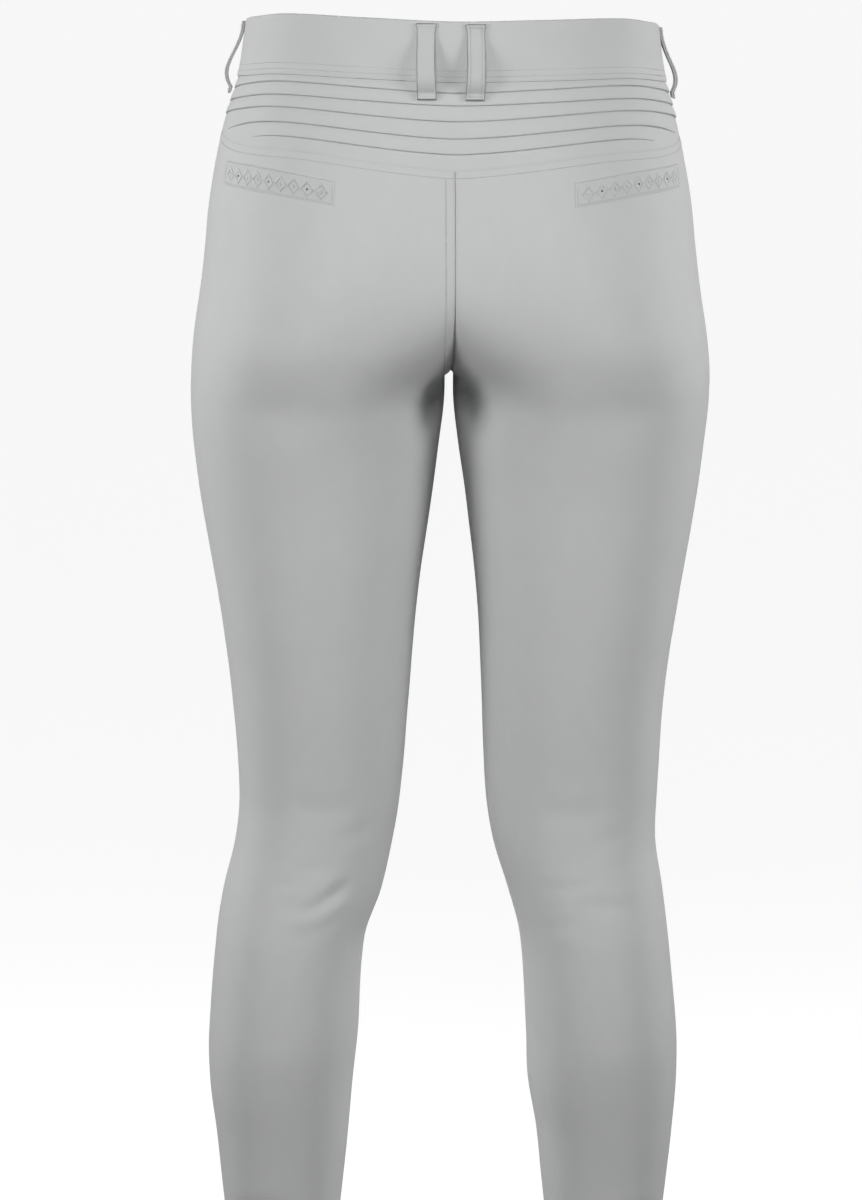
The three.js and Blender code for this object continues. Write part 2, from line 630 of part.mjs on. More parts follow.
// A press button's domed cap, facing out on the tab.
function button() {
  const profile = [
    [0, 0],
    [0.9 * BUTTON_RADIUS, 0],
    [BUTTON_RADIUS, BUTTON_EDGE],
    [0.96 * BUTTON_RADIUS, 0.5 * BUTTON_RISE],
    [0.78 * BUTTON_RADIUS, 0.77 * BUTTON_RISE],
    [0.45 * BUTTON_RADIUS, 0.95 * BUTTON_RISE],
    [0, BUTTON_RISE],
  ].map(([r, y]) => new THREE.Vector2(r, y));
  const cap = new THREE.LatheGeometry(profile, 24);
  const z = -BAND_HEIGHT / 2;
  const u = uFrom("front", 1, z, BUTTON_ACROSS);
  const normal = surfaceNormal(1, u, z);
  const out = BAND_PROUD + BAND_WALL + 2 * SEAM_GAP;
  const turn = new THREE.Quaternion().setFromUnitVectors(new THREE.Vector3(0, 1, 0), normal);
  cap.applyQuaternion(turn);
  const foot = surfacePoint(1, u, z).addScaledVector(normal, out);
  cap.translate(foot.x, foot.y, foot.z);
  return cap;
}

addPiece("waistband", waistband(), PIECE_COLOURS.cloth);
addPiece("back_yoke", backYoke(), PIECE_COLOURS.cloth);
for (const [word, side] of [["left", 1], ["right", -1]]) {
  addPiece("front_" + word, legPanel(side, false), PIECE_COLOURS.cloth);
  addPiece("back_" + word, legPanel(side, true), PIECE_COLOURS.cloth);
  addPiece("pocket_welt_" + word, pocketWelt(side), PIECE_COLOURS.trim);
}
addPiece("fly", fly(), PIECE_COLOURS.cloth);
for (const loop of LOOPS) addPiece(loop.name, beltLoop(loop), PIECE_COLOURS.trim);
addPiece("button", button(), PIECE_COLOURS.button);

export default breeches;
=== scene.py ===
"""Riding breeches in pearl grey stretch cloth, worn form, seen from behind.

The cloth lies on the same worn surface as the CAD: the tables below repeat those of the part's source. Every piece is a
thin shell on that surface, with its seams, tucks, creases and stitching. Lengths are millimetres in the row frame until
a mesh is made: +Z up, the front faces -Y, +X is the wearer's left, and z = 0 is the waistband's top edge.
"""

import math

import bpy
import numpy as np
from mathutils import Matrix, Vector

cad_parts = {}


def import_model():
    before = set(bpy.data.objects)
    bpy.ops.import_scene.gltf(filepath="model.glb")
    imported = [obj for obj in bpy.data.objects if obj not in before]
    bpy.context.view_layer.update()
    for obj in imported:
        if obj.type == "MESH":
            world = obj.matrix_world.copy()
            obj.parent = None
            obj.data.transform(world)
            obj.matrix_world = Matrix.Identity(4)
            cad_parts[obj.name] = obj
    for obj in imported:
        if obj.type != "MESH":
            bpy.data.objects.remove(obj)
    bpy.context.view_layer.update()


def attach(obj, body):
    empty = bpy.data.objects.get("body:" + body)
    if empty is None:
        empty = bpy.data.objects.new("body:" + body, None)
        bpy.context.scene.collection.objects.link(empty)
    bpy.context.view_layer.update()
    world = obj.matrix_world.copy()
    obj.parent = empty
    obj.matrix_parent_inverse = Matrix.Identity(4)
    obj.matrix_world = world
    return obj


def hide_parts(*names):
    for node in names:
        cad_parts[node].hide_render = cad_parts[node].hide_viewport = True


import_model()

MM = 0.001
LEFT, RIGHT = 1, -1


def table(columns, *rows):
    """A table with named columns, as one array for each column."""
    return {name: np.array(values, float) for name, values in zip(columns.split(), zip(*rows))}


# The worn surface, as in the CAD
SEAM_GAP = 0.3
CROTCH_Z = -246
CROTCH_ROUNDING = 2.5
HEM_Z = -903
HEM_HEIGHT = 20
HEM_PROUD = 0.8
SEAT_FOLD_Z = -168
FRONT_FOLD_Z = -175
SECTION_POWER = 2.12
SIDE_SEAM_FORWARD = 8
INNER_GRID_SHARE = 1.4
TURNS_FROM_Z = -110
LEG_SETTLES_OVER = 60
TOP_EDGE_FADES_AT = -200
WAIST_TILT = 0.016
WAIST_TILT_FADES_AT = -230
QUARTER_STEPS = 36
ARC_ROUNDING = 1e-6

SECTIONS = table(
    "z outer_left outer_right front back lobe",
    (0, 138.5, 142, 95, 99, 0),
    (-27, 142, 145, 97, 103, 1),
    (-42, 145.5, 148.5, 99, 106, 3),
    (-70, 154.5, 156, 101, 113, 9),
    (-100, 161, 162, 103, 120, 20),
    (-130, 166, 166.5, 104, 126, 34),
    (-160, 169, 169.5, 104, 130, 50),
    (-190, 172.5, 173, 102.5, 130.5, 66),
    (-220, 177, 177.5, 100, 126, 80),
    (-246, 179, 180, 97, 117.5, 88),
    (-270, 179.5, 179.5, 94.5, 108.5, 91.5),
    (-300, 177.5, 176.5, 92, 100, 92),
    (-335, 173, 172, 90, 92.5, 92),
    (-405, 161.5, 160.5, 84, 81, 91),
    (-475, 152.5, 150.5, 75, 69, 90),
    (-545, 148, 146.5, 66, 58, 90),
    (-580, 151, 145.5, 60.5, 57, 92),
    (-615, 159.5, 150.5, 55, 60, 99),
    (-650, 165, 155, 50.5, 64, 107),
    (-720, 170.5, 161.5, 44.5, 65, 111),
    (-755, 170, 161.5, 41.5, 60, 112),
    (-790, 166, 159, 39, 53, 112),
    (-825, 162.5, 155.5, 37, 47, 113),
    (-865, 158.5, 151, 35, 42.5, 113),
    (-903, 155.5, 148, 34, 41, 113),
)
INNER_LEG = table(
    "z left right",
    (-246, 3.4, 2.4),
    (-270, 4, 2.6),
    (-300, 8, 6),
    (-335, 12.5, 11),
    (-405, 22.5, 19),
    (-475, 28.5, 22.5),
    (-545, 34.5, 25.5),
    (-580, 40, 30.5),
    (-615, 48, 41),
    (-650, 60, 50),
    (-720, 65, 54.5),
    (-755, 69, 56),
    (-790, 72, 62),
    (-825, 75.5, 65.5),
    (-865, 80, 70),
    (-903, 84, 74.5),
)
INSEAM_BACK = table("z arc", (-246, 0), (-360, 0), (-560, 16), (-720, 14), (-903, 6))
TOP_EDGE = table(
    "u rise", (0, -15), (0.25, -12), (0.5, -8.5), (0.6, -5), (0.7, -1.2), (0.85, -1.8), (1, -3.3)
)

# The waistband, the tucks and the pieces that lie on the panels, as in the CAD
BAND_HEIGHT = 40
BAND_WALL = 2.8
BAND_PROUD = 1.2
BAND_UNDER = 24
BAND_OVER = 20
TAB_RAMP = (30, 64)
TUCKS = table(
    "centre hip last end",
    (47, 44.6, 49.5, 1.02),
    (55.5, 53.3, 59, 1.02),
    (66, 61.4, 68, 1.02),
    (77.5, 71.2, 76.8, 0.84),
    (88, 80.3, 82, 0.67),
)
YOKE_SEAM = {"centre": 99, "hip": 89.2, "last": 74, "end": 1}
HIP_AT = 0.55
TUCK_SPACE = 1.8
SIDE_SEAM_SHARE = 0.0007
LOOPS = [
    # name, side, landmark, arc from it, bow
    ("belt_loop_back_left", LEFT, "back", 18.7, 6.4),
    ("belt_loop_back_right", RIGHT, "back", 13.8, 6.2),
    ("belt_loop_side_left", LEFT, "side", 4, 6.6),
    ("belt_loop_side_right", RIGHT, "side", 4, 5.8),
    ("belt_loop_front_left", LEFT, "front", 92, 5),
    ("belt_loop_front_right", RIGHT, "front", 92, 5),
]
LOOP_WIDTH = 12
LOOP_WALL = 1.9
LOOP_TOP = 2
LOOP_BOTTOM = 52
LOOP_STITCHED = 0.08
LOOP_BOW_LOW = 1.9
LOOP_BOW_FULL = 0.8
LOOP_STEP_FROM = 0.6
LOOP_STEP_TO = 0.9
LOOP_STEP_OUT = 1.85
WELT_EDGE = table("arc z", (80.5, -107.2), (121, -102.3), (183, -97.3))
WELT_WALL = 1.2
WELT_HEIGHT = 17
FLY_WALL = 1.2
FLY_WIDTH = 36
FLY_EDGE = 3
FLY_CURVE_FROM = 136
FLY_END = 178
FLY_FOOT = 0.985
BUTTON_RADIUS = 7.5
BUTTON_RISE = 3
BUTTON_ACROSS = 6

# What only the scene has
CLOTH = 1.1  # the panels' cloth
SEAM_HALF = 0.04  # half the gap at a sewn seam
SEAM_DIP = 0.5  # how far the cloth rolls in there
SEAM_ROLL = 1.0  # width of that roll
SEAT_SEAM_DIP = 1.0
SEAT_SEAM_HALF = 0.1
CROTCH_SOFT = 11  # how gently the seat rounds off into the leg
SEAT_LOWER = 9  # how far below the crotch the seat reaches, beside the centre line
FRONT_LOWER = 6
CENTRE_KEEPS = 10
OPENS_FROM = -222  # the legs part gently, beside the centre line
OPENS_OVER = 44
HOLLOW_Z = -266  # the hollow between the thighs, below the crotch
HOLLOW_TALL = 15
HOLLOW_AT = 0.93  # its place, as a sine of the quarter turn from the deepest point
HOLLOW_WIDE = 0.12
SEAT_HOLLOW = 0.62
FRONT_HOLLOW = 0.24
LAP_DIP = 0.08  # the panels' top edge laps over the yoke's lower edge
LAP_ROLL = 0.5
LAPPED_DIP = 0.3
GROOVE = 0.12  # how deep a row of stitches pulls the cloth in
GROOVE_WIDTH = 0.7
SEAM_ROW = 6.3  # the centre back's row of stitches, from its seam
YOKE_ROW = 4.6  # the row below the yoke's seam
STITCH_PITCH = 2.6
STITCH_LENGTH = 2.1
THREAD = 0.2  # radius


# ---- the worn surface -------------------------------------------------------


def smooth(x):
    x = np.clip(x, 0, 1)
    return x * x * (3 - 2 * x)


def mix(a, b, t):
    return a + (b - a) * t


def dip(distance, deep, wide):
    """A soft furrow: its depth at a distance from its middle."""
    return deep * np.exp(-((distance / wide) ** 2))


def curve(rows, along, key, x, level_ends=False):
    """A smooth curve through a table's rows: the value of column key where column along is x."""
    xs, ys, x = rows[along], rows[key], np.asarray(x, float)
    if xs[-1] < xs[0]:
        xs, x = -xs, -x
    slope = np.gradient(ys, xs)
    slope[1:-1] = (ys[2:] - ys[:-2]) / (xs[2:] - xs[:-2])
    if level_ends:
        slope[[0, -1]] = 0
    x = np.clip(x, xs[0], xs[-1])
    i = np.clip(np.searchsorted(xs, x, side="left") - 1, 0, len(xs) - 2)
    span = xs[i + 1] - xs[i]
    t = (x - xs[i]) / span
    start = (1 + 2 * t) * (1 - t) ** 2 * ys[i] + t * (1 - t) ** 2 * span * slope[i]
    return start + t * t * (3 - 2 * t) * ys[i + 1] + t * t * (t - 1) * span * slope[i + 1]


def rise_share(z, fold_z, bottom_z=CROTCH_Z):
    """How much of the full depth is left at the centre line, where the rise curves under to the crotch."""
    drop = np.clip((fold_z - z) / (fold_z - bottom_z), 0, 1)
    return np.where(z > bottom_z, np.sqrt(1 - drop**3), 0.0)


def fullness(z, fold_z, lower):
    """The same beside the centre line, where the cloth rounds off into the leg a little below the crotch."""
    steps = np.linspace(-CROTCH_SOFT, CROTCH_SOFT, 7)
    shares = [rise_share(z + step, fold_z - lower / 2, CROTCH_Z - lower) ** SECTION_POWER for step in steps]
    return np.mean(shares, 0)


def of_side(side, rows, left, right, z):
    return np.where(side > 0, curve(rows, "z", left, z), curve(rows, "z", right, z))


class Half:
    """Half of the section at each level z, as polylines from the centre front or inseam, round the side, to the centre
    back or inseam. side and z are flat arrays of one length."""

    def __init__(self, side, z):
        self.side, self.z = side, z
        outer = of_side(side, SECTIONS, "outer_left", "outer_right", z)
        opening = np.sqrt(np.clip((CROTCH_Z - z) / CROTCH_ROUNDING, 0, 1))
        inner_leg = of_side(side, INNER_LEG, "left", "right", z)
        inner, inner_beside = opening * inner_leg, smooth((OPENS_FROM - z) / OPENS_OVER) * inner_leg
        front, back = curve(SECTIONS, "z", "front", z), curve(SECTIONS, "z", "back", z)
        below = np.clip((CROTCH_Z - z) / LEG_SETTLES_OVER, 0, 1)
        lobe = mix(curve(SECTIONS, "z", "lobe", z), (outer + inner) / 2, below)
        none = np.zeros_like(z)
        front_rise = rise_share(z, FRONT_FOLD_Z), fullness(z, FRONT_FOLD_Z, FRONT_LOWER), FRONT_HOLLOW
        back_rise = rise_share(z, SEAT_FOLD_Z), fullness(z, SEAT_FOLD_Z, SEAT_LOWER), SEAT_HOLLOW
        quarters = [
            self.quarter(lobe, inner, inner_beside, -front, *front_rise)[:, :, ::-1],
            self.quarter(lobe, outer, outer, -front, none, none, 0)[:, :, 1:],
            self.quarter(lobe, outer, outer, back, none, none, 0)[:, :, ::-1][:, :, 1:],
            self.quarter(lobe, inner, inner_beside, back, *back_rise)[:, :, 1:],
        ]
        self.x, self.y = np.concatenate(quarters, 2)
        steps = np.hypot(np.diff(self.x), np.diff(self.y))
        self.length = np.concatenate([none[:, None], np.cumsum(steps, 1)], 1)
        self.total = self.length[:, -1]
        self.start = -curve(INSEAM_BACK, "z", "arc", z)
        self.end = self.total + self.start
        self.side_seam = self.length[:, 2 * QUARTER_STEPS] - SIDE_SEAM_FORWARD
        self.front_lobe = self.length[:, QUARTER_STEPS]
        self.back_lobe = self.length[:, 3 * QUARTER_STEPS]
        inner_width = INNER_GRID_SHARE * np.abs(inner - lobe)
        front_width = self.side_seam - self.front_lobe
        back_width = self.back_lobe - self.side_seam
        self.front_split = front_width / (front_width + inner_width)
        self.back_split = back_width / (back_width + inner_width)
        self.turn_share = smooth((TURNS_FROM_Z - z) / (TURNS_FROM_Z - CROTCH_Z))
        self.row = np.arange(len(z))

    def quarter(self, lobe, end, end_beside, depth, share, full, hollow):
        """From a section's deepest point to its end."""
        sine = np.sin(np.linspace(0, np.pi / 2, QUARTER_STEPS + 1))
        at_centre = sine**CENTRE_KEEPS
        reach = mix(end_beside[:, None], end[:, None], at_centre) - lobe[:, None]
        left = mix(full[:, None], share[:, None] ** SECTION_POWER, at_centre)
        y = depth[:, None] * np.maximum(0, 1 - (1 - left) * sine**SECTION_POWER) ** (1 / SECTION_POWER)
        level = dip(self.z - HOLLOW_Z, hollow, HOLLOW_TALL)
        y = y * (1 - level[:, None] * dip(sine - HOLLOW_AT, 1, HOLLOW_WIDE))
        return np.stack([lobe[:, None] + reach * sine, y])

    def parts(self, is_back):
        split = np.where(is_back, self.back_split, self.front_split)
        lobe = np.where(is_back, self.back_lobe, self.front_lobe)
        centre = np.where(is_back, self.end, self.start)
        return split, lobe, centre

    def inner_arc(self, is_back, share):
        """Running length from the deepest line (share 0) to the centre or inseam (share 1)."""
        _, lobe, centre = self.parts(is_back)
        full_turn = np.where(is_back, self.total, 0.0)
        place = np.where(is_back, 3 + share, 1 - share) * QUARTER_STEPS
        low = np.clip(np.floor(place).astype(int), 0, self.length.shape[1] - 2)
        turned = mix(self.length[self.row, low], self.length[self.row, low + 1], place - low)
        whole = np.where(np.abs(full_turn - lobe) < 1e-9, 1, full_turn - lobe)
        by_turn = lobe + (turned - lobe) * (centre - lobe) / whole
        return mix(mix(lobe, centre, share), by_turn, self.turn_share)

    def arc_at(self, u):
        """Running length at a place u: 0 at the centre front or inseam, 0.5 at the side seam, 1 at the centre back."""
        is_back, toward_centre = u > 0.5, np.abs(2 * u - 1)
        split, lobe, _ = self.parts(is_back)
        share = np.clip((toward_centre - split) / np.maximum(1 - split, 1e-9), 0, 1)
        outer = mix(self.side_seam, lobe, toward_centre / split)
        return np.where(toward_centre <= split, outer, self.inner_arc(is_back, share))

    def u_at(self, arc):
        """The place u of a running length."""
        is_back = arc > self.side_seam
        split, lobe, _ = self.parts(is_back)
        to_lobe = (arc - self.side_seam) / (lobe - self.side_seam)
        low, high = np.zeros_like(arc), np.ones_like(arc)
        for _ in range(34):
            middle = (low + high) / 2
            found = self.inner_arc(is_back, middle)
            past = np.where(is_back, found > arc, found < arc)
            low, high = np.where(past, low, middle), np.where(past, middle, high)
        toward_centre = np.where(to_lobe <= 1, to_lobe * split, mix(split, 1, low))
        return np.where(is_back, 0.5 + toward_centre / 2, 0.5 - toward_centre / 2)

    def along(self, arc):
        """The point at a running length; a closed leg section runs on past its inseam."""
        arc = np.where(arc < -ARC_ROUNDING, arc + self.total, np.maximum(arc, 0))
        i = np.clip((self.length <= arc[:, None]).sum(1) - 1, 0, self.length.shape[1] - 2)
        before, after = self.length[self.row, i], self.length[self.row, i + 1]
        t = np.clip((arc - before) / np.maximum(after - before, 1e-9), 0, 1)
        x = mix(self.x[self.row, i], self.x[self.row, i + 1], t)
        y = mix(self.y[self.row, i], self.y[self.row, i + 1], t)
        return x, y


def flat_arrays(*values):
    """The values as flat arrays of one length, and their common shape."""
    values = np.broadcast_arrays(*[np.asarray(v, float) for v in values])
    return [v.ravel() for v in values], values[0].shape


def surface(side, u, z):
    """Points of the worn surface; z is the level before the top edge's own wave and tilt are added."""
    (side, u, z), shape = flat_arrays(side, u, z)
    half = Half(side, z)
    x, y = half.along(half.arc_at(u))
    rise = curve(TOP_EDGE, "u", "rise", u, level_ends=True) * (1 - smooth(z / TOP_EDGE_FADES_AT))
    rise = rise + WAIST_TILT * side * x * (1 - smooth(z / WAIST_TILT_FADES_AT))
    return np.stack([side * x, y, z + rise], -1).reshape(shape + (3,))


def unit(v):
    return v / np.maximum(np.linalg.norm(v, axis=-1, keepdims=True), 1e-9)


def surface_normal(side, u, z):
    """The outward direction of the worn surface."""
    du, dz = 0.004, 1.0
    side, u, z = np.broadcast_arrays(np.asarray(side, float), np.asarray(u, float), np.asarray(z, float))
    around = surface(side, np.minimum(1, u + du), z) - surface(side, np.maximum(0, u - du), z)
    up = surface(side, u, np.minimum(0, z + dz)) - surface(side, u, np.maximum(HEM_Z, z - dz))
    return unit(np.cross(up, around) * -side[..., None])


def u_across(side, z, x):
    """The place u on the back's inner half at a distance x from the body's middle plane."""
    half = Half(np.full(z.shape, float(side)), z)
    inner = slice(3 * QUARTER_STEPS, None)
    arcs = [np.interp(x, xs[::-1], lengths[::-1]) for xs, lengths in zip(half.x[:, inner], half.length[:, inner])]
    return half.u_at(np.array(arcs))


def u_from(landmark, side, z, distance):
    """The place u at a distance from the centre back, the centre front or, backward, the side seam."""
    (side, z, distance), shape = flat_arrays(side, z, distance)
    half = Half(side, z)
    arc = {"front": distance, "back": half.end - distance, "side": half.side_seam + distance}[landmark]
    return half.u_at(arc).reshape(shape)


# ---- creases -----------------------------------------------------------------

# Soft troughs (depth above 0) and ridges (below 0). Each lies at a place u and level z, runs length mm at a slope in
# degrees, up toward the side seam, and is width mm wide.
CREASES = table(
    "side back u z length slope width depth",
    # below the knee, over the calf, as in the photograph
    (1, 1, 0.83, -612, 44, -32, 4.6, 1.9),
    (1, 1, 0.80, -621, 40, -28, 6.0, -1.0),
    (1, 1, 0.74, -600, 24, -14, 4.0, 0.45),
    (1, 1, 0.77, -590, 28, -8, 4.5, 0.4),
    (-1, 1, 0.82, -604, 46, 6, 4.0, 0.4),
    (-1, 1, 0.74, -618, 38, -10, 5.0, 0.5),
    (-1, 1, 0.86, -632, 30, 14, 4.5, 0.45),
    # behind the knees
    (1, 1, 0.78, -548, 44, 6, 8.0, 0.5),
    (1, 1, 0.86, -566, 36, -12, 6.0, 0.45),
    (-1, 1, 0.78, -552, 46, -4, 8.0, 0.5),
    (-1, 1, 0.70, -570, 30, 9, 6.0, 0.4),
    # broad hollows under the seat
    (1, 1, 0.74, -262, 64, -6, 17, 1.5),
    (-1, 1, 0.74, -262, 66, -6, 17, 1.5),
    # round the crotch, behind
    (1, 1, 0.94, -262, 40, 34, 6.0, 0.6),
    (-1, 1, 0.94, -258, 44, 30, 6.5, 0.65),
    (1, 1, 0.92, -282, 34, 24, 7.0, 0.45),
    (-1, 1, 0.91, -286, 38, 20, 7.0, 0.5),
    # round the crotch, in front
    (1, 0, 0.07, -222, 52, 30, 6.0, 1.2),
    (-1, 0, 0.08, -216, 56, 26, 6.5, 1.1),
    (1, 0, 0.11, -240, 60, 16, 7.0, 1.0),
    (-1, 0, 0.10, -246, 50, 12, 6.0, 1.2),
    (1, 0, 0.09, -268, 44, 2, 7.0, 0.7),
    (-1, 0, 0.11, -274, 48, -4, 7.5, 0.6),
    (1, 0, 0.17, -206, 46, 34, 8.0, 0.6),
    (-1, 0, 0.18, -199, 42, 38, 8.0, 0.6),
    # over the front of the knees and shins
    (1, 0, 0.27, -556, 50, 8, 7.0, 0.6),
    (1, 0, 0.21, -578, 42, -9, 6.0, 0.55),
    (-1, 0, 0.25, -562, 46, -7, 7.0, 0.6),
    (-1, 0, 0.30, -586, 38, 10, 6.0, 0.5),
    # above the ankles
    (1, 1, 0.72, -838, 48, -8, 6.0, 0.8),
    (1, 0, 0.26, -846, 44, 9, 6.5, 0.9),
    (1, 1, 0.80, -862, 40, 12, 5.0, 0.7),
    (-1, 1, 0.73, -846, 46, 10, 6.0, 0.8),
    (-1, 0, 0.24, -838, 46, -12, 6.5, 0.9),
    (-1, 0, 0.30, -864, 40, 6, 5.0, 0.7),
)


def crease_depth(side, u, z, points):
    """How far the creases push each point inward, in mm."""
    depth = np.zeros(u.shape)
    for n in range(len(CREASES["z"])):
        row = {name: values[n] for name, values in CREASES.items()}
        if row["side"] != side:
            continue
        centre = surface(side, row["u"], row["z"])
        near = (np.abs(z - row["z"]) < row["length"] + 4 * row["width"]) & ((u > 0.5) == (row["back"] > 0))
        # distance along the surface: sideways from the centre, and in height
        outward = 1 if row["back"] else -1
        step = surface(side, row["u"] - outward * 0.02, row["z"]) - centre
        sideways = unit(step * np.array([1, 1, 0]))
        offset = points - centre
        across, height = offset @ sideways, offset[..., 2]
        slope = math.radians(row["slope"])
        run = across * math.cos(slope) + height * math.sin(slope)
        # a crease isn't straight: it bends a little along its run
        off = -across * math.sin(slope) + height * math.cos(slope) - 0.004 * run**2 * np.sign(row["depth"])
        half = row["length"] / 2
        fade = smooth((1.25 * half - np.abs(run)) / (0.9 * half))
        trough = np.exp(-((off / row["width"]) ** 2))
        shoulders = 0.35 * np.exp(-(((np.abs(off) - 2.1 * row["width"]) / row["width"]) ** 2))
        depth += np.where(near, row["depth"] * fade * (trough - shoulders), 0)
    return depth


def handle(side, z, u):
    """The cloth's own slight unevenness: long, shallow swells, a fraction of a millimetre high."""
    swell = 0.16 * np.sin(z / 31 + 5 * u + side) * np.sin(u * 17 + z / 57 + 2 * side)
    return swell + 0.07 * np.sin(z / 13.0 + 23 * u) * np.sin(z / 19 - 31 * u + side)


# ---- meshes ------------------------------------------------------------------


def add_mesh(name, points, faces, material, uv=None):
    """A smooth-shaded mesh object from points in mm. uv, in mm too, lays the weave."""
    mesh = bpy.data.meshes.new(name)
    mesh.from_pydata((np.asarray(points) * MM).tolist(), [], faces)
    if uv is not None:
        layer = mesh.uv_layers.new(name="cloth")
        loops = np.zeros(len(mesh.loops), int)
        mesh.loops.foreach_get("vertex_index", loops)
        layer.data.foreach_set("uv", (np.asarray(uv)[loops] * MM).ravel())
    mesh.shade_smooth()
    mesh.materials.append(material)
    piece = bpy.data.objects.new(name, mesh)
    bpy.context.scene.collection.objects.link(piece)
    return piece


def grid_uv(points):
    """Lays the weave by lengths measured along the middle row and column of a grid of points."""
    rows, columns = points.shape[:2]
    across = np.linalg.norm(np.diff(points[rows // 3], axis=0), axis=-1)
    down = np.linalg.norm(np.diff(points[:, columns // 2], axis=0), axis=-1)
    u = np.concatenate([[0], np.cumsum(across)])
    v = -np.concatenate([[0], np.cumsum(down)])
    return np.stack(np.meshgrid(u, v), -1)


def quads(rows, columns, start, flip):
    """The faces of a grid of points."""
    j, i = np.meshgrid(np.arange(rows - 1), np.arange(columns - 1), indexing="ij")
    a = start + j * columns + i
    faces = np.stack([a, a + columns, a + columns + 1, a + 1], -1).reshape(-1, 4)
    return faces[:, ::-1] if flip else faces


def add_shell(name, outer, inner, material, rounding=(0, 0, 0, 0)):
    """One sheet from an outer and an inner grid, joined by a rim along each edge. rounding is how far the rim bulges at
    the top, the bottom, the first and the last column."""
    rows, columns = outer.shape[:2]
    uv = grid_uv(outer).reshape(-1, 2)
    points = [outer.reshape(-1, 3), inner.reshape(-1, 3)]
    uvs = [uv, uv]
    count = rows * columns
    faces = [quads(rows, columns, 0, False), quads(rows, columns, count, True)]
    index = np.arange(count).reshape(rows, columns)
    edges = [
        (index[0], index[1], rounding[0], True),
        (index[-1], index[-2], rounding[1], False),
        (index[:, 0], index[:, 1], rounding[2], False),
        (index[:, -1], index[:, -2], rounding[3], True),
    ]
    made = 2 * count
    flat_outer, flat_inner = points[0], points[1]
    for border, next_in, bulge, flip in edges:
        away = unit(flat_outer[border] - flat_outer[next_in])
        middle = (flat_outer[border] + flat_inner[border]) / 2 + away * bulge
        points.append(middle)
        uvs.append(uv[border])
        rim = made + np.arange(len(border))
        made += len(border)
        for one, other in ((border, rim), (rim, border + count)):
            strip = np.stack([one[:-1], one[1:], other[1:], other[:-1]], -1)
            faces.append(strip[:, ::-1] if flip else strip)
    points, faces = np.concatenate(points), np.concatenate(faces)
    a, b, c = points[faces[:, 0]], points[faces[:, 1]], points[faces[:, 2]]
    if (a * np.cross(b, c)).sum() < 0:
        faces = faces[:, ::-1]
    return add_mesh(name + "_cloth", points, faces.tolist(), material, np.concatenate(uvs))


def stands_for(piece, node):
    """Puts a sheet in its node's place."""
    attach(piece, "root")
    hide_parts(node)
    return piece


# ---- stitching ---------------------------------------------------------------


def resample(points, pitch):
    """Points at an even pitch along a line, and how many."""
    lengths = np.concatenate([[0], np.cumsum(np.linalg.norm(np.diff(points, axis=0), axis=-1))])
    count = max(2, int(round(lengths[-1] / pitch)) + 1)
    places = np.linspace(0, lengths[-1], count)
    return np.stack([np.interp(places, lengths, points[:, k]) for k in range(points.shape[1])], -1)


STITCH_RINGS = ((-0.5, -0.16), (-0.42, 0.12), (-0.2, 0.24), (0.2, 0.24), (0.42, 0.12), (0.5, -0.16))
STITCH_SIDES = 5


def stitch_points(centres, along, out, length, radius):
    """One stitch for each centre: a short thread that arches out of the cloth and dives back into it."""
    sideways = unit(np.cross(along, out))
    turn = np.linspace(0, 2 * np.pi, STITCH_SIDES, endpoint=False)
    rings = []
    for place, rise in STITCH_RINGS:
        middle = centres + along * (place * length) + out * rise
        swell = radius * (1.0 if abs(place) < 0.45 else 0.7)
        ring = [middle + swell * (math.cos(a) * sideways + math.sin(a) * out) for a in turn]
        rings.append(np.stack(ring, 1))
    return np.stack(rings, 1)


def stitch_faces(start):
    rings, sides = len(STITCH_RINGS), STITCH_SIDES
    faces = []
    for r in range(rings - 1):
        for s in range(sides):
            n = (s + 1) % sides
            a, b = start + r * sides, start + (r + 1) * sides
            faces.append([a + s, a + n, b + n, b + s])
    faces.append([start + s for s in range(sides)][::-1])
    faces.append([start + (rings - 1) * sides + s for s in range(sides)])
    return faces


def add_stitches(name, lines, material, pitch=STITCH_PITCH, length=STITCH_LENGTH, radius=THREAD):
    """Rows of stitches along lines, each a pair of arrays: points on the cloth and the directions out of it."""
    points, faces, made = [], [], 0
    for line, out in lines:
        both = resample(np.concatenate([line, out], -1), pitch)
        line, out = both[:, :3], unit(both[:, 3:])
        centres = (line[1:] + line[:-1]) / 2
        stitches = stitch_points(centres, unit(line[1:] - line[:-1]), unit(out[1:] + out[:-1]), length, radius)
        for stitch in stitches:
            points.append(stitch.reshape(-1, 3))
            faces += stitch_faces(made)
            made += len(STITCH_RINGS) * STITCH_SIDES
    piece = add_mesh(name, np.concatenate(points), faces, material)
    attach(piece, "root")
    return piece


def row_on(side, u, z, out):
    """A line of stitches on the worn surface, out mm above it."""
    normal = surface_normal(side, u, z)
    return surface(side, u, z) + normal * np.asarray(out)[..., None], normal


def row_in_cloth(side, u, z, out):
    """A line of stitches that follows a panel's creases."""
    push = crease_depth(side, u, z, surface(side, u, z)) - handle(side, z, u)
    return row_on(side, u, z, out - push)


# ---- materials ---------------------------------------------------------------


def new_material(name, colour, roughness, sheen=0.0):
    material = bpy.data.materials.new(name)
    material.use_nodes = True
    shader = material.node_tree.nodes["Principled BSDF"]
    shader.inputs["Base Color"].default_value = (*colour, 1)
    shader.inputs["Roughness"].default_value = roughness
    shader.inputs["Sheen Weight"].default_value = sheen
    shader.inputs["Sheen Roughness"].default_value = 0.5
    return material, material.node_tree, shader


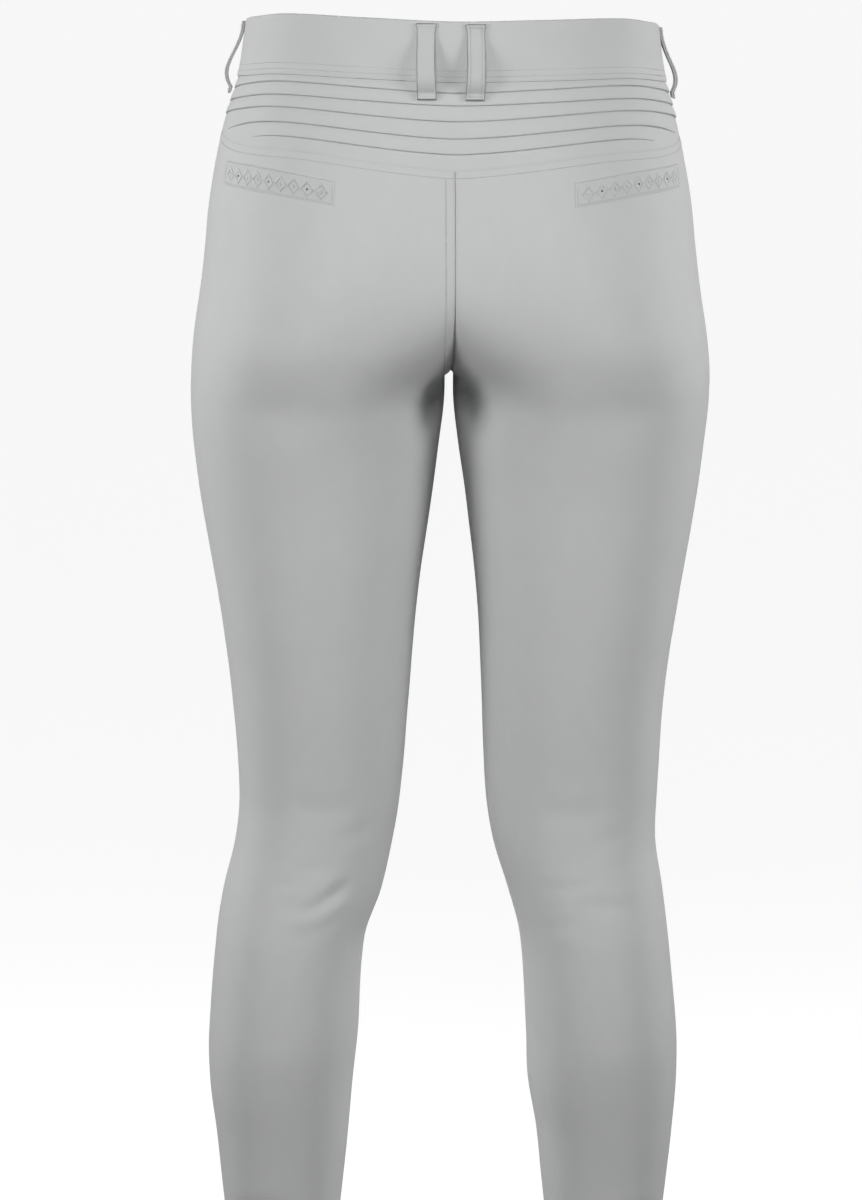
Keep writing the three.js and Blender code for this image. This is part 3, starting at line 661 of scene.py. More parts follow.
def cloth_material(name, colour, roughness=0.82, weave=0.35, bump=0.12):
    """A smooth, close-woven stretch twill: fine slanting ribs, a faint mottle and a soft sheen."""
    material, tree, shader = new_material(name, colour, roughness, sheen=0.12)
    nodes, links = tree.nodes, tree.links
    uv = nodes.new("ShaderNodeUVMap")
    uv.uv_map = "cloth"
    scale = 1 / (weave * MM)
    turned = nodes.new("ShaderNodeMapping")
    turned.inputs["Rotation"].default_value = (0, 0, math.radians(63))
    turned.inputs["Scale"].default_value = (scale / (2 * math.pi) * 2, scale / (2 * math.pi) * 2, 1)
    links.new(uv.outputs["UV"], turned.inputs["Vector"])
    twill = nodes.new("ShaderNodeTexWave")
    twill.inputs["Scale"].default_value = 0.5
    twill.inputs["Distortion"].default_value = 1.5
    twill.inputs["Detail"].default_value = 1.0
    links.new(turned.outputs["Vector"], twill.inputs["Vector"])
    yarn = nodes.new("ShaderNodeTexNoise")
    yarn.inputs["Scale"].default_value = scale * 0.9
    yarn.inputs["Detail"].default_value = 2.0
    links.new(uv.outputs["UV"], yarn.inputs["Vector"])
    height = nodes.new("ShaderNodeMix")
    height.inputs["Factor"].default_value = 0.45
    links.new(twill.outputs["Fac"], height.inputs["A"])
    links.new(yarn.outputs["Fac"], height.inputs["B"])
    relief = nodes.new("ShaderNodeBump")
    relief.inputs["Strength"].default_value = bump
    relief.inputs["Distance"].default_value = 0.08 * MM
    links.new(height.outputs["Result"], relief.inputs["Height"])
    links.new(relief.outputs["Normal"], shader.inputs["Normal"])
    mottle = nodes.new("ShaderNodeTexNoise")
    mottle.inputs["Scale"].default_value = 55
    mottle.inputs["Detail"].default_value = 4
    links.new(uv.outputs["UV"], mottle.inputs["Vector"])
    tint = nodes.new("ShaderNodeMix")
    tint.data_type = "RGBA"
    tint.inputs["A"].default_value = (*[0.97 * c for c in colour], 1)
    tint.inputs["B"].default_value = (*[1.03 * c for c in colour], 1)
    links.new(mottle.outputs["Fac"], tint.inputs["Factor"])
    links.new(tint.outputs["Result"], shader.inputs["Base Color"])
    return material


def thread_material(name, colour):
    """Spun polyester thread, with its twist as a fine slanting bump."""
    material, tree, shader = new_material(name, colour, 0.55, sheen=0.2)
    place = tree.nodes.new("ShaderNodeTexCoord")
    twist = tree.nodes.new("ShaderNodeTexWave")
    twist.inputs["Scale"].default_value = 900
    twist.inputs["Distortion"].default_value = 2
    tree.links.new(place.outputs["Object"], twist.inputs["Vector"])
    relief = tree.nodes.new("ShaderNodeBump")
    relief.inputs["Strength"].default_value = 0.3
    relief.inputs["Distance"].default_value = 0.05 * MM
    tree.links.new(twist.outputs["Fac"], relief.inputs["Height"])
    tree.links.new(relief.outputs["Normal"], shader.inputs["Normal"])
    return material


def metal_material(name, colour, roughness):
    """Satin nickel, brushed in rings."""
    material, tree, shader = new_material(name, colour, roughness)
    shader.inputs["Metallic"].default_value = 1.0
    place = tree.nodes.new("ShaderNodeTexCoord")
    grain = tree.nodes.new("ShaderNodeTexNoise")
    grain.inputs["Scale"].default_value = 2600
    tree.links.new(place.outputs["Object"], grain.inputs["Vector"])
    spread = tree.nodes.new("ShaderNodeMapRange")
    spread.inputs["To Min"].default_value = roughness - 0.08
    spread.inputs["To Max"].default_value = roughness + 0.08
    tree.links.new(grain.outputs["Fac"], spread.inputs["Value"])
    tree.links.new(spread.outputs["Result"], shader.inputs["Roughness"])
    return material


PEARL = (0.545, 0.549, 0.553)
CLOTH_LOOK = cloth_material("pearl_twill", PEARL)
TRIM_LOOK = cloth_material("pearl_twill_trim", tuple(0.97 * c for c in PEARL), weave=0.33)
THREAD_LOOK = thread_material("grey_thread", (0.47, 0.473, 0.477))
PALE_THREAD_LOOK = thread_material("pale_thread", (0.6, 0.605, 0.61))
NICKEL_LOOK = metal_material("satin_nickel", (0.5, 0.5, 0.51), 0.34)
DARK_STUD_LOOK = metal_material("dark_stud", (0.12, 0.12, 0.13), 0.3)


# ---- the leg panels ----------------------------------------------------------

EDGE_STEPS = (0, 0.3, 0.7, 1.3, 2.2, 3.4, 4.6)  # columns near a seam, from its edge
PANEL_COLUMNS = 58
RISE_ROWS = 96
LEG_ROWS = 196
SIDE_AT_CROTCH = CROTCH_Z - 54
BELOW_CROTCH = (0.2, 0.6, 1.3, 2.5, 5, 9)
ABOVE_HEM = 26
STAYS_LEVEL = 4


def yoke_depth(line, share):
    """Depth below the top edge of a tuck or seam, a share of the way from the centre back to the side seam."""
    upper = mix(line["centre"], line["hip"], smooth(share / HIP_AT))
    beyond = np.maximum(share - HIP_AT, 0) / (line["end"] - HIP_AT)
    return np.where(share < HIP_AT, upper, mix(line["hip"], line["last"], beyond**2))


def rise_levels(top_z, fold_z, depth_key, count):
    """Levels down the centre line from a panel's top to the crotch, evenly spaced along the curve of the rise."""
    steps = np.linspace(0, 1, 600)
    z = mix(top_z, CROTCH_Z, 1 - (1 - steps) ** 2)
    y = curve(SECTIONS, "z", depth_key, z) * rise_share(z, fold_z)
    length = np.concatenate([[0], np.cumsum(np.hypot(np.diff(y), np.diff(z)))])
    return np.interp(np.linspace(0, length[-1], count + 1), length, z)


def even_levels(start, stop, count):
    return mix(start, stop, np.arange(1, count + 1) / count)


def panel_top(is_back, toward_centre):
    depth = yoke_depth(YOKE_SEAM, 1 - toward_centre) if is_back else BAND_HEIGHT
    return depth + SEAM_HALF


def panel_levels(is_back, toward_centre):
    """The level of each row of a panel's grid, at each column."""
    hem_top = HEM_Z + HEM_HEIGHT
    hem = [hem_top + 1.2, hem_top + 0.35, hem_top, hem_top - 0.9]
    hem += list(even_levels(hem_top - 0.9, HEM_Z, 7))
    top_centre, top_side = panel_top(is_back, np.array([1.0, 0.0]))* np.ones(2)
    fold_z = SEAT_FOLD_Z if is_back else FRONT_FOLD_Z
    edge = np.array([0.3, 0.8, 1.6, 2.8, 3.9, 4.6, 5.3, 6.6])
    centre = np.concatenate([
        [-top_centre],
        -top_centre - edge,
        rise_levels(-top_centre - edge[-1], fold_z, "back" if is_back else "front", RISE_ROWS)[1:],
        [CROTCH_Z - below for below in BELOW_CROTCH],
        even_levels(CROTCH_Z - BELOW_CROTCH[-1], hem_top + ABOVE_HEM, LEG_ROWS),
        hem,
    ])
    side = np.concatenate([
        [-top_side],
        -top_side - edge,
        even_levels(-top_side - edge[-1], SIDE_AT_CROTCH, RISE_ROWS),
        even_levels(SIDE_AT_CROTCH, hem_top + ABOVE_HEM, len(BELOW_CROTCH) + LEG_ROWS),
        hem,
    ])
    z = mix(side[:, None], centre[:, None], toward_centre[None, :] ** STAYS_LEVEL)
    last_rise = len(edge) + RISE_ROWS
    seam_offset = -panel_top(is_back, toward_centre) - z[0]
    fade = np.clip(1 - np.maximum(np.arange(len(z)) - len(edge), 0) / RISE_ROWS, 0, 1) ** 2
    return z + seam_offset[None, :] * fade[:, None], last_rise


def panel_grid(side, is_back):
    """The places of a leg panel's grid: u, z, distance from its side seam and from its centre seam or inseam."""
    edge = np.array(EDGE_STEPS)
    middle = np.linspace(0, 1, PANEL_COLUMNS + 2)[1:-1]
    inset = 0.02
    toward_centre = np.concatenate([inset * edge / edge[-1], mix(inset, 1 - inset, middle), 1 - inset * edge[::-1] / edge[-1]])
    z, last_rise = panel_levels(is_back, toward_centre)
    flat_z = z.ravel()
    half = Half(np.full(flat_z.shape, float(side)), flat_z)
    way = 1 if is_back else -1
    seam_side = half.side_seam + way * SEAM_HALF
    on_rise = flat_z > CROTCH_Z
    gap = np.where(on_rise, 0, SEAM_HALF)
    seam_centre = half.end - gap if is_back else half.start + gap
    first = half.u_at(seam_side + way * edge[-1])
    last = half.u_at(seam_centre - way * edge[-1])
    count = len(toward_centre)
    column = np.tile(np.arange(count), len(z))
    place = np.clip((column - len(edge) + 1) / (PANEL_COLUMNS + 1), 0, 1)
    u = mix(first, last, place)
    from_side = np.where(column < len(edge), edge[np.minimum(column, len(edge) - 1)], 1e3)
    back_column = count - 1 - column
    from_centre = np.where(back_column < len(edge), edge[np.minimum(back_column, len(edge) - 1)], 1e3)
    arc = np.where(from_side < 1e3, seam_side + way * from_side, seam_centre - way * from_centre)
    near_edge = (from_side < 1e3) | (from_centre < 1e3)
    u = np.where(near_edge, half.u_at(arc), u)
    # the centre columns of the rise lie on the body's middle plane
    u = np.where((back_column == 0) & on_rise, 1.0 if is_back else 0.0, u)
    shape = z.shape
    return u.reshape(shape), z, from_side.reshape(shape), from_centre.reshape(shape), last_rise


def groove(distance):
    """The dip that a row of stitches pulls into the cloth."""
    return dip(distance, GROOVE, GROOVE_WIDTH)


def leg_panel(name, side, is_back):
    u, z, from_side, from_centre, last_rise = panel_grid(side, is_back)
    points = surface(side, u, z)
    normal = surface_normal(side, u, z)
    rise = (np.arange(len(z)) < last_rise)[:, None] & (from_centre == 0)
    normal[rise, 0] = 0
    normal = unit(normal)
    below_top = z[0][None, :] - z
    seat_seam = np.where(is_back & (z > CROTCH_Z), SEAT_SEAM_DIP, SEAM_DIP)
    push = dip(from_side, SEAM_DIP, SEAM_ROLL) + dip(from_centre, seat_seam, SEAM_ROLL)
    push = push + crease_depth(side, u, z, points) - handle(side, z, u)
    if is_back:
        push = push + dip(below_top, LAP_DIP, LAP_ROLL) + groove(below_top - YOKE_ROW)
    in_hem = z < HEM_Z + HEM_HEIGHT + 0.2
    out = np.where(in_hem, HEM_PROUD * 0.9, 0) - push
    wall = CLOTH + np.where(in_hem, HEM_PROUD, 0)
    outer = points + normal * out[..., None]
    inner = points + normal * (out - wall)[..., None]
    for grid in (outer, inner):
        grid[..., 0] = side * np.maximum(side * grid[..., 0], SEAT_SEAM_HALF if is_back else SEAM_HALF)
    piece = add_shell(name, outer, inner, CLOTH_LOOK, rounding=(0, 0.45, 0.1, 0.1))
    return stands_for(piece, name)


# ---- the back yoke -----------------------------------------------------------

# The outline of one tuck, from the line above it to under its own lip. down is the share of the way to its own line.
# folded is mm past that place where the tuck is full, flat is the same where it has run out, lift is the share of its
# height and deep the share of the crease under the lip.
TUCK_PROFILE = table(
    "down folded flat lift deep",
    (0, 0.12, 0.42, 0, 1),
    (0, 0.7, 1, 0.14, 0.25),
    (0.1, 0, 0, 0.42, 0),
    (0.35, 0, 0, 0.68, 0),
    (0.65, 0, 0, 0.88, 0),
    (0.9, 0, 0, 0.98, 0),
    (1, -0.9, -0.9, 1, 0),
    (1, -0.45, -0.45, 0.96, 0.1),
    (1, -0.16, -0.2, 0.82, 0.25),
    (1, 0, -0.05, 0.56, 0.5),
    (1, -0.02, 0.08, 0.3, 0.9),
    (1, -0.22, 0.18, 0.1, 1),
    (1, -0.65, 0.28, 0, 1),
)
TUCK_LIFT = 1.25  # height of a tuck's lip
TUCK_CREASE = 0.45  # depth of the crease under it
TUCK_RUNS_OUT = 0.15  # share of the way over which a lip fades before its end
CREASE_RUNS_OUT = 0.02
TUCK_PIT = 0.7  # depth of the pit where a tuck ends short of the side seam
TUCK_PIT_SIZE = 2.2
HALF_YOKE = 230  # rough length from the centre back to the side seam
YOKE_COLUMNS = 320
TUCK_ROOM = 1.2  # no row of a band's middle lies nearer to a tuck's line
YOKE_PASSES_UNDER = 0.3
YOKE_LAST_ROWS = (0, 0.08, 0.25, 0.45, 0.6, 0.72, 0.82, 0.88, 0.93, 0.97, 1)


def tuck_line(n):
    return {name: values[n] for name, values in TUCKS.items()}


def tuck_depth(n, share):
    room = TUCK_SPACE * (len(TUCKS["end"]) - n)
    return np.minimum(yoke_depth(tuck_line(n), share), yoke_depth(YOKE_SEAM, share) - room)


def runs_out(n, share, over):
    """1 along a tuck, fading to 0 at its end."""
    return 1 - smooth((share - tuck_line(n)["end"]) / over + 1)


def yoke_rows(share):
    """Depth and outward offset of each row of the yoke, at each column."""
    depth, out = [np.full(share.shape, BAND_HEIGHT - 3.0)], [np.full(share.shape, -0.4)]
    above, crease_above = np.full(share.shape, float(BAND_HEIGHT)), 0
    for n in range(len(TUCKS["end"])):
        line, full = tuck_depth(n, share), runs_out(n, share, TUCK_RUNS_OUT)
        crease = TUCK_CREASE * runs_out(n, share, CREASE_RUNS_OUT)
        pit = dip((share - tuck_line(n)["end"] + CREASE_RUNS_OUT) * HALF_YOKE, TUCK_PIT, TUCK_PIT_SIZE)
        crease = crease + np.where(tuck_line(n)["end"] < 1, pit, 0)
        for k in range(len(TUCK_PROFILE["lift"])):
            down, folded, flat, lift, deep = (TUCK_PROFILE[c][k] for c in ("down", "folded", "flat", "lift", "deep"))
            room = line - above
            past = np.clip(mix(flat, folded, full), -0.25 * room, 0.25 * room)
            first, last = np.minimum(TUCK_ROOM, 0.3 * room), room - np.minimum(TUCK_ROOM, 0.4 * room)
            between = mix(first, last, down) if 0 < down < 1 else room * down
            depth.append(above + between + past)
            out.append(lift * TUCK_LIFT * full - deep * (crease if down > 0.5 else crease_above))
        above, crease_above = line, crease
    seam = yoke_depth(YOKE_SEAM, share) + YOKE_PASSES_UNDER
    for down in YOKE_LAST_ROWS:
        depth.append(mix(above + TUCK_ROOM / 3, seam, down))
        under = dip(seam - depth[-1], LAPPED_DIP, SEAM_ROLL)
        out.append(-under - (crease_above if down == 0 else 0) * np.ones(share.shape))
    return np.array(depth), np.array(out)


def back_yoke():
    signed = np.linspace(-1, 1, YOKE_COLUMNS + 1)
    share = np.minimum(np.abs(signed), 1 - SIDE_SEAM_SHARE)
    side = np.where(signed < 0, -1.0, 1.0)
    depth, out = yoke_rows(share)
    z = -depth
    u = np.broadcast_to(1 - share / 2, z.shape)
    side = np.broadcast_to(side, z.shape)
    points, normal = surface(side, u, z), surface_normal(side, u, z)
    out = out - dip((1 - share) * HALF_YOKE, SEAM_DIP, SEAM_ROLL)[None, :]
    outer = points + normal * out[..., None]
    inner = points + normal * np.minimum(-CLOTH, out - CLOTH)[..., None]
    piece = add_shell("back_yoke", outer, inner, CLOTH_LOOK, rounding=(0, 0, 0, 0))
    return stands_for(piece, "back_yoke")


# ---- the waistband -----------------------------------------------------------

BAND_COLUMNS = 420
BAND_ROWS = (0, 0.5, 1.2, 2.2, 4, 7, 11, 15, 19, 23, 27, 30, 31.6, 32.2, 32.8, 34, 35.6, 36.2, 36.8, 38, 39, 39.5)
BAND_STITCHES = (3.6, 7.6)  # rows of stitches, up from the band's lower edge
INSIDE_RAMP = (25.5, 31)  # the facing stays on the panel until just before the under end


def waist_place(distance, z):
    """Side and u round the whole waist, by distance from the centre front past the wearer's left side."""
    (distance, z), shape = flat_arrays(distance, z)
    half = Half(np.ones_like(z), z)
    whole = 2 * half.end
    turned = np.mod(distance, whole)
    left = turned <= half.end
    u = half.u_at(np.where(left, turned, whole - turned))
    return np.where(left, 1.0, -1.0).reshape(shape), u.reshape(shape), whole.reshape(shape)


def band_place(share, below, ramp=TAB_RAMP):
    """Point, normal and outward offset on the waistband's face; share runs from its under end to its tab."""
    z = -np.asarray(below, float)
    _, _, whole = waist_place(np.zeros_like(z), z)
    distance = mix(-BAND_UNDER, whole + BAND_OVER, share)
    side, u, _ = waist_place(distance, z)
    lift = smooth((distance - whole + ramp[1]) / (ramp[1] - ramp[0]))
    out = BAND_PROUD + lift * (BAND_WALL + SEAM_GAP)
    return surface(side, u, z), surface_normal(side, u, z), out


def waistband():
    share = np.linspace(0, 1, BAND_COLUMNS + 1)
    below = np.array(BAND_ROWS) * (BAND_HEIGHT - SEAM_HALF) / BAND_ROWS[-1]
    share, below = np.meshgrid(share, below)
    points, normal, out = band_place(share, below)
    top, bottom = dip(below, 0.7, 0.9), dip(BAND_HEIGHT - below, 0.45, 0.8)
    rows = sum(groove(BAND_HEIGHT - below - row) for row in BAND_STITCHES)
    swell = 0.25 * np.sin(np.pi * below / BAND_HEIGHT) + 0.1 * np.sin(share * 61) * np.sin(below / 9 + share * 23)
    shown = out - top - bottom - rows + swell
    outer = points + normal * shown[..., None]
    _, _, inside = band_place(share, below, INSIDE_RAMP)
    inner = points + normal * (inside - BAND_WALL + top)[..., None]
    piece = add_shell("waistband", outer, inner, CLOTH_LOOK, rounding=(0.55, 0.1, 0.5, 0.5))
    add_stitches("waistband_stitches", [band_row(row) for row in BAND_STITCHES], THREAD_LOOK)
    return stands_for(piece, "waistband")


def band_row(up):
    """A row of stitches along the waistband, up from its lower edge."""
    share = np.linspace(0.004, 0.996, 500)
    points, normal, out = band_place(share, np.full(share.shape, BAND_HEIGHT - up))
    return points + normal * (out - GROOVE)[:, None], normal


# ---- belt loops --------------------------------------------------------------

LOOP_STEPS = 60
LOOP_ACROSS = np.array([-0.5, -0.47, -0.4, -0.3, -0.15, 0, 0.15, 0.3, 0.4, 0.47, 0.5])
LOOP_ROWS = (-0.33, 0.33)  # its two rows of stitches, as shares of its width


def loop_surface(loop, t, across):
    """Point, direction out and rise of a belt loop's underside; t runs down it and across is a share of its width."""
    _, side, landmark, arc, bow = loop
    z = -mix(LOOP_TOP, LOOP_BOTTOM, t)
    u = u_from(landmark, side, np.array([-float(BAND_HEIGHT)]), np.array([float(arc)]))[0]
    stepped = smooth((t - LOOP_STEP_FROM) / (LOOP_STEP_TO - LOOP_STEP_FROM))
    rest = mix(BAND_PROUD, LOOP_STEP_OUT, stepped) + SEAM_GAP
    bowed = np.clip((t - LOOP_STITCHED) / (1 - 2 * LOOP_STITCHED), 0, 1)
    rise = rest + bow * np.sin(np.pi * bowed**LOOP_BOW_LOW) ** LOOP_BOW_FULL
    middle = surface(side, u, z)
    normal = surface_normal(side, u, z)
    sideways = unit(np.stack([-normal[..., 1], normal[..., 0], 0 * normal[..., 0]], -1))
    width = LOOP_WIDTH * (0.95 + 0.17 * np.exp(-((t / 0.05) ** 2)) + 0.05 * smooth((t - 0.5) / 0.5))
    foot = middle + sideways * (across * width)[..., None]
    return foot, normal, rise


def belt_loop(loop):
    name = loop[0]
    t, across = np.meshgrid(np.linspace(0, 1, LOOP_STEPS + 1), LOOP_ACROSS, indexing="ij")
    foot, normal, rise = loop_surface(loop, t, across)
    edge = np.abs(across) * 2
    crown = LOOP_WALL * (1 - 0.28 * np.maximum(edge - 0.8, 0) ** 2 / 0.04) + 0.15 * (1 - edge**2)
    rows = sum(groove((across - row) * LOOP_WIDTH) for row in LOOP_ROWS) if name != PLAIN_LOOP else 0
    outer = foot + normal * (rise + crown - rows)[..., None]
    inner = foot + normal * rise[..., None]
    piece = add_shell(name, outer, inner, TRIM_LOOK, rounding=(0.5, 0.5, 0.5, 0.5))
    lines = [loop_row(loop, row) for row in LOOP_ROWS] if name != PLAIN_LOOP else []
    lines += [bar_tack(loop, t) for t in ((0.04,) if name == PLAIN_LOOP else (0.035, 0.05, 0.955, 0.97))]
    add_stitches(name + "_stitches", lines, THREAD_LOOK, pitch=2.0, length=1.7, radius=0.17)
    return stands_for(piece, name)


PLAIN_LOOP = "belt_loop_back_left"


def loop_row(loop, across):
    t = np.linspace(0.02, 0.98, 80)
    foot, normal, rise = loop_surface(loop, t, np.full(t.shape, across))
    return foot + normal * (rise + LOOP_WALL - 0.05)[:, None], normal


def bar_tack(loop, t):
    across = np.linspace(-0.42, 0.42, 12)
    foot, normal, rise = loop_surface(loop, np.full(across.shape, t), across)
    return foot + normal * (rise + LOOP_WALL + 0.05)[:, None], normal


# ---- pocket welts ------------------------------------------------------------

WELT_COLUMNS = 110
WELT_LEVELS = (
    0, 0.25, 0.55, 0.8, 1.0, 1.15, 1.3, 1.45, 1.6, 1.8, 2.1, 2.6, 3.4, 4.6, 6, 7.6, 9.2, 10.8, 12.4, 13.8, 15, 15.8,
    16.3, 16.7, 17,
)
WELT_LIES = 0.08  # how far the welt lies off the panel
WELT_CLOTH = 0.5
WELT_MOUTH = 1.3  # the pocket's mouth, below the welt's top edge
WELT_ROW = 1.7  # its row of stitches, from its edges


def welt_place(side, along, down):
    """Point and normal on the back panel under a welt; along and down are shares of its length and height."""
    arc = mix(WELT_EDGE["arc"][0], WELT_EDGE["arc"][-1], along)
    z = curve(WELT_EDGE, "arc", "z", arc) - down * WELT_HEIGHT
    u = u_from("back", side, z, arc)
    return surface(side, u, z), surface_normal(side, u, z)


def on_welt(side, along, down, out):
    points, normal = welt_place(side, np.asarray(along, float), np.asarray(down, float))
    return points + normal * (WELT_LIES + WELT_CLOTH + out), normal


def pocket_welt(word, side):
    name = "pocket_welt_" + word
    s, down = np.meshgrid(np.linspace(0, 1, WELT_COLUMNS + 1), np.array(WELT_LEVELS))
    t = down / WELT_HEIGHT
    points, normal = welt_place(side, s, t)
    length = WELT_EDGE["arc"][-1] - WELT_EDGE["arc"][0]
    rim = np.minimum(np.minimum(s, 1 - s) * length, WELT_HEIGHT - down)
    in_mouth = np.clip(np.minimum(s, 1 - s) * length - 2, 0, 1)
    out = WELT_CLOTH - dip(rim, WELT_CLOTH, 0.8) - in_mouth * dip(down - WELT_MOUTH, 0.75, 0.32)
    out = np.where(down < WELT_MOUTH, np.minimum(out, 1.6 * WELT_CLOTH * np.sqrt(down / WELT_MOUTH)), out)
    outer = points + normal * (WELT_LIES + out)[..., None]
    inner = points + normal * (WELT_LIES + out - WELT_CLOTH)[..., None]
    piece = add_shell(name, outer, inner, TRIM_LOOK, rounding=(0.1, 0.1, 0.1, 0.1))
    inset_s, inset_t = WELT_ROW / length, WELT_ROW / WELT_HEIGHT
    run, drop = np.linspace(inset_s, 1 - inset_s, 90), np.linspace(2 * inset_t, 1 - inset_t, 20)
    lines = [
        on_welt(side, run, np.full(90, 1 - inset_t), -0.1),
        on_welt(side, np.full(20, inset_s), drop, -0.1),
        on_welt(side, np.full(20, 1 - inset_s), drop, -0.1),
    ]
    add_stitches(name + "_stitches", lines, THREAD_LOOK, pitch=2.2, length=1.8, radius=0.16)
    welt_embroidery(name, side, length)
    return stands_for(piece, name)


MOTIF = 10.4  # length of one lozenge of the embroidery
MOTIF_MIDDLE = 0.54
MOTIF_HALF = 0.33  # half a lozenge's height, as a share of the welt's
MOTIF_BORDER = 0.12
MOTIF_CORE = 0.1
MOTIF_THREADS = 22


def welt_embroidery(name, side, length):
    """A plain row of satin-stitched lozenges, each with a small core or, in every third one, a stud."""
    count = int((length - 8) // MOTIF)
    start = (length - count * MOTIF) / 2
    lines, studs = [], []
    for n in range(count):
        left = start + n * MOTIF
        has_stud = n % 3 == 1
        for k in range(MOTIF_THREADS):
            place = (k + 0.5) / MOTIF_THREADS
            taper = 1 - abs(2 * place - 1)
            half, s = MOTIF_HALF * taper, (left + place * MOTIF) / length
            hollow = max(0.0, half - MOTIF_BORDER)
            spans = [(-half, -hollow), (hollow, half)]
            core = MOTIF_CORE - MOTIF_HALF * (1 - taper)
            if core > 0.02 and not has_stud:
                spans.append((-core, core))
            for low, high in spans:
                if high - low > 0.03:
                    middle = np.linspace(MOTIF_MIDDLE + low, MOTIF_MIDDLE + high, 3)
                    lines.append(on_welt(side, np.full(3, s), middle, 0.02))
        if has_stud:
            studs.append((left + MOTIF / 2) / length)
    piece = add_satin(name + "_embroidery", lines, PALE_THREAD_LOOK)
    add_studs(name + "_studs", side, studs)


def add_satin(name, lines, material, radius=0.23):
    """Satin stitches: one flat thread for each line."""
    points, faces, made = [], [], 0
    for line, out in lines:
        middle, along = line[1], line[-1] - line[0]
        length = float(np.linalg.norm(along))
        stitch = stitch_points(middle[None], unit(along)[None], unit(out[1])[None], length, radius)
        points.append(stitch.reshape(-1, 3))
        faces += stitch_faces(made)
        made += len(STITCH_RINGS) * STITCH_SIDES
    piece = add_mesh(name, np.concatenate(points), faces, material)
    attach(piece, "root")
    return piece


STUD_PROFILE = ((0.75, -0.2), (0.75, 0.12), (0.6, 0.34), (0.34, 0.47), (0.0, 0.5))


def turned(centre, out, profile, sides=20):
    """Points and faces of a small turned form, its profile given as radius and height."""
    side = unit(np.cross(out, [0, 0, 1.0]))
    other = np.cross(out, side)
    turn = np.linspace(0, 2 * np.pi, sides, endpoint=False)
    points, faces = [], []
    for radius, height in profile:
        for a in turn:
            points.append(centre + out * height + radius * (math.cos(a) * side + math.sin(a) * other))
    for r in range(len(profile) - 1):
        for s in range(sides):
            n = (s + 1) % sides
            faces.append([r * sides + s, r * sides + n, (r + 1) * sides + n, (r + 1) * sides + s])
    faces.append(list(range(sides))[::-1])
    return np.array(points), faces


def add_studs(name, side, places):
    points, faces, made = [], [], 0
    for s in places:
        centre, out = on_welt(side, np.array([s]), np.array([MOTIF_MIDDLE]), 0.0)
        stud, its_faces = turned(centre[0], out[0], STUD_PROFILE)
        points.append(stud)
        faces += [[made + v for v in face] for face in its_faces]
        made += len(stud)
    piece = add_mesh(name, np.concatenate(points), faces, DARK_STUD_LOOK)
    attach(piece, "root")
    return piece


# ---- the fly and its button --------------------------------------------------


def fly_place(s, t, narrower=0.0):
    depth = mix(BAND_HEIGHT + SEAM_GAP, FLY_END - narrower, 1 - (1 - t) ** 1.35)
    bend = np.clip((depth - FLY_CURVE_FROM) / (FLY_END - narrower - FLY_CURVE_FROM), 0, 1)
    width = (FLY_WIDTH + FLY_EDGE - narrower) * np.sqrt(1 - FLY_FOOT * bend**2)
    across = FLY_EDGE - s * width
    side = np.where(across < 0, -1.0, 1.0)
    z = -depth
    u = u_from("front", side, z, np.abs(across))
    return side, u, z, across


def fly():
    s, t = np.meshgrid(np.linspace(0, 1, 40), np.linspace(0, 1, 120))
    side, u, z, across = fly_place(s, t)
    points, normal = surface(side, u, z), surface_normal(side, u, z)
    out = SEAM_GAP + FLY_WALL - dip(FLY_EDGE - across, 0.5, 0.8) - 0.9 * smooth((s - 0.9) / 0.1)
    outer = points + normal * out[..., None]
    inner = points + normal * np.full(s.shape, SEAM_GAP * 0.7)[..., None]
    piece = add_shell("fly", outer, inner, CLOTH_LOOK, rounding=(0, 0.2, 0.4, 0.1))
    lines = []
    for narrower in (4.0, 7.0):
        t = np.linspace(0, 0.999, 160)
        row_side, u, z, _ = fly_place(np.ones_like(t), t, narrower)
        lines.append(row_on(row_side, u, z, np.full(t.shape, SEAM_GAP + FLY_WALL - 0.05)))
    add_stitches("fly_stitches", lines, THREAD_LOOK)
    return stands_for(piece, "fly")


BUTTON_PROFILE = (
    (7.0, -0.3), (7.45, 0.2), (7.5, 0.8), (7.3, 1.5), (6.8, 2.05), (6.2, 2.35), (5.5, 2.4), (5.1, 2.2), (4.8, 2.05),
    (3.6, 2.2), (2.2, 2.32), (1.0, 2.38), (0.0, 2.4),
)


def button():
    z = -BAND_HEIGHT / 2
    u = float(u_from("front", LEFT, np.array([z]), np.array([float(BUTTON_ACROSS)]))[0])
    normal = surface_normal(LEFT, u, z)
    out = BAND_PROUD + BAND_WALL + 2 * SEAM_GAP
    centre = surface(LEFT, u, z) + normal * out
    points, faces = turned(centre, normal, BUTTON_PROFILE, sides=48)
    piece = add_mesh("button_metal", points, faces, NICKEL_LOOK)
    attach(piece, "root")
    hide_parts("button")
    return piece


# ---- rows of stitches on the panels ------------------------------------------


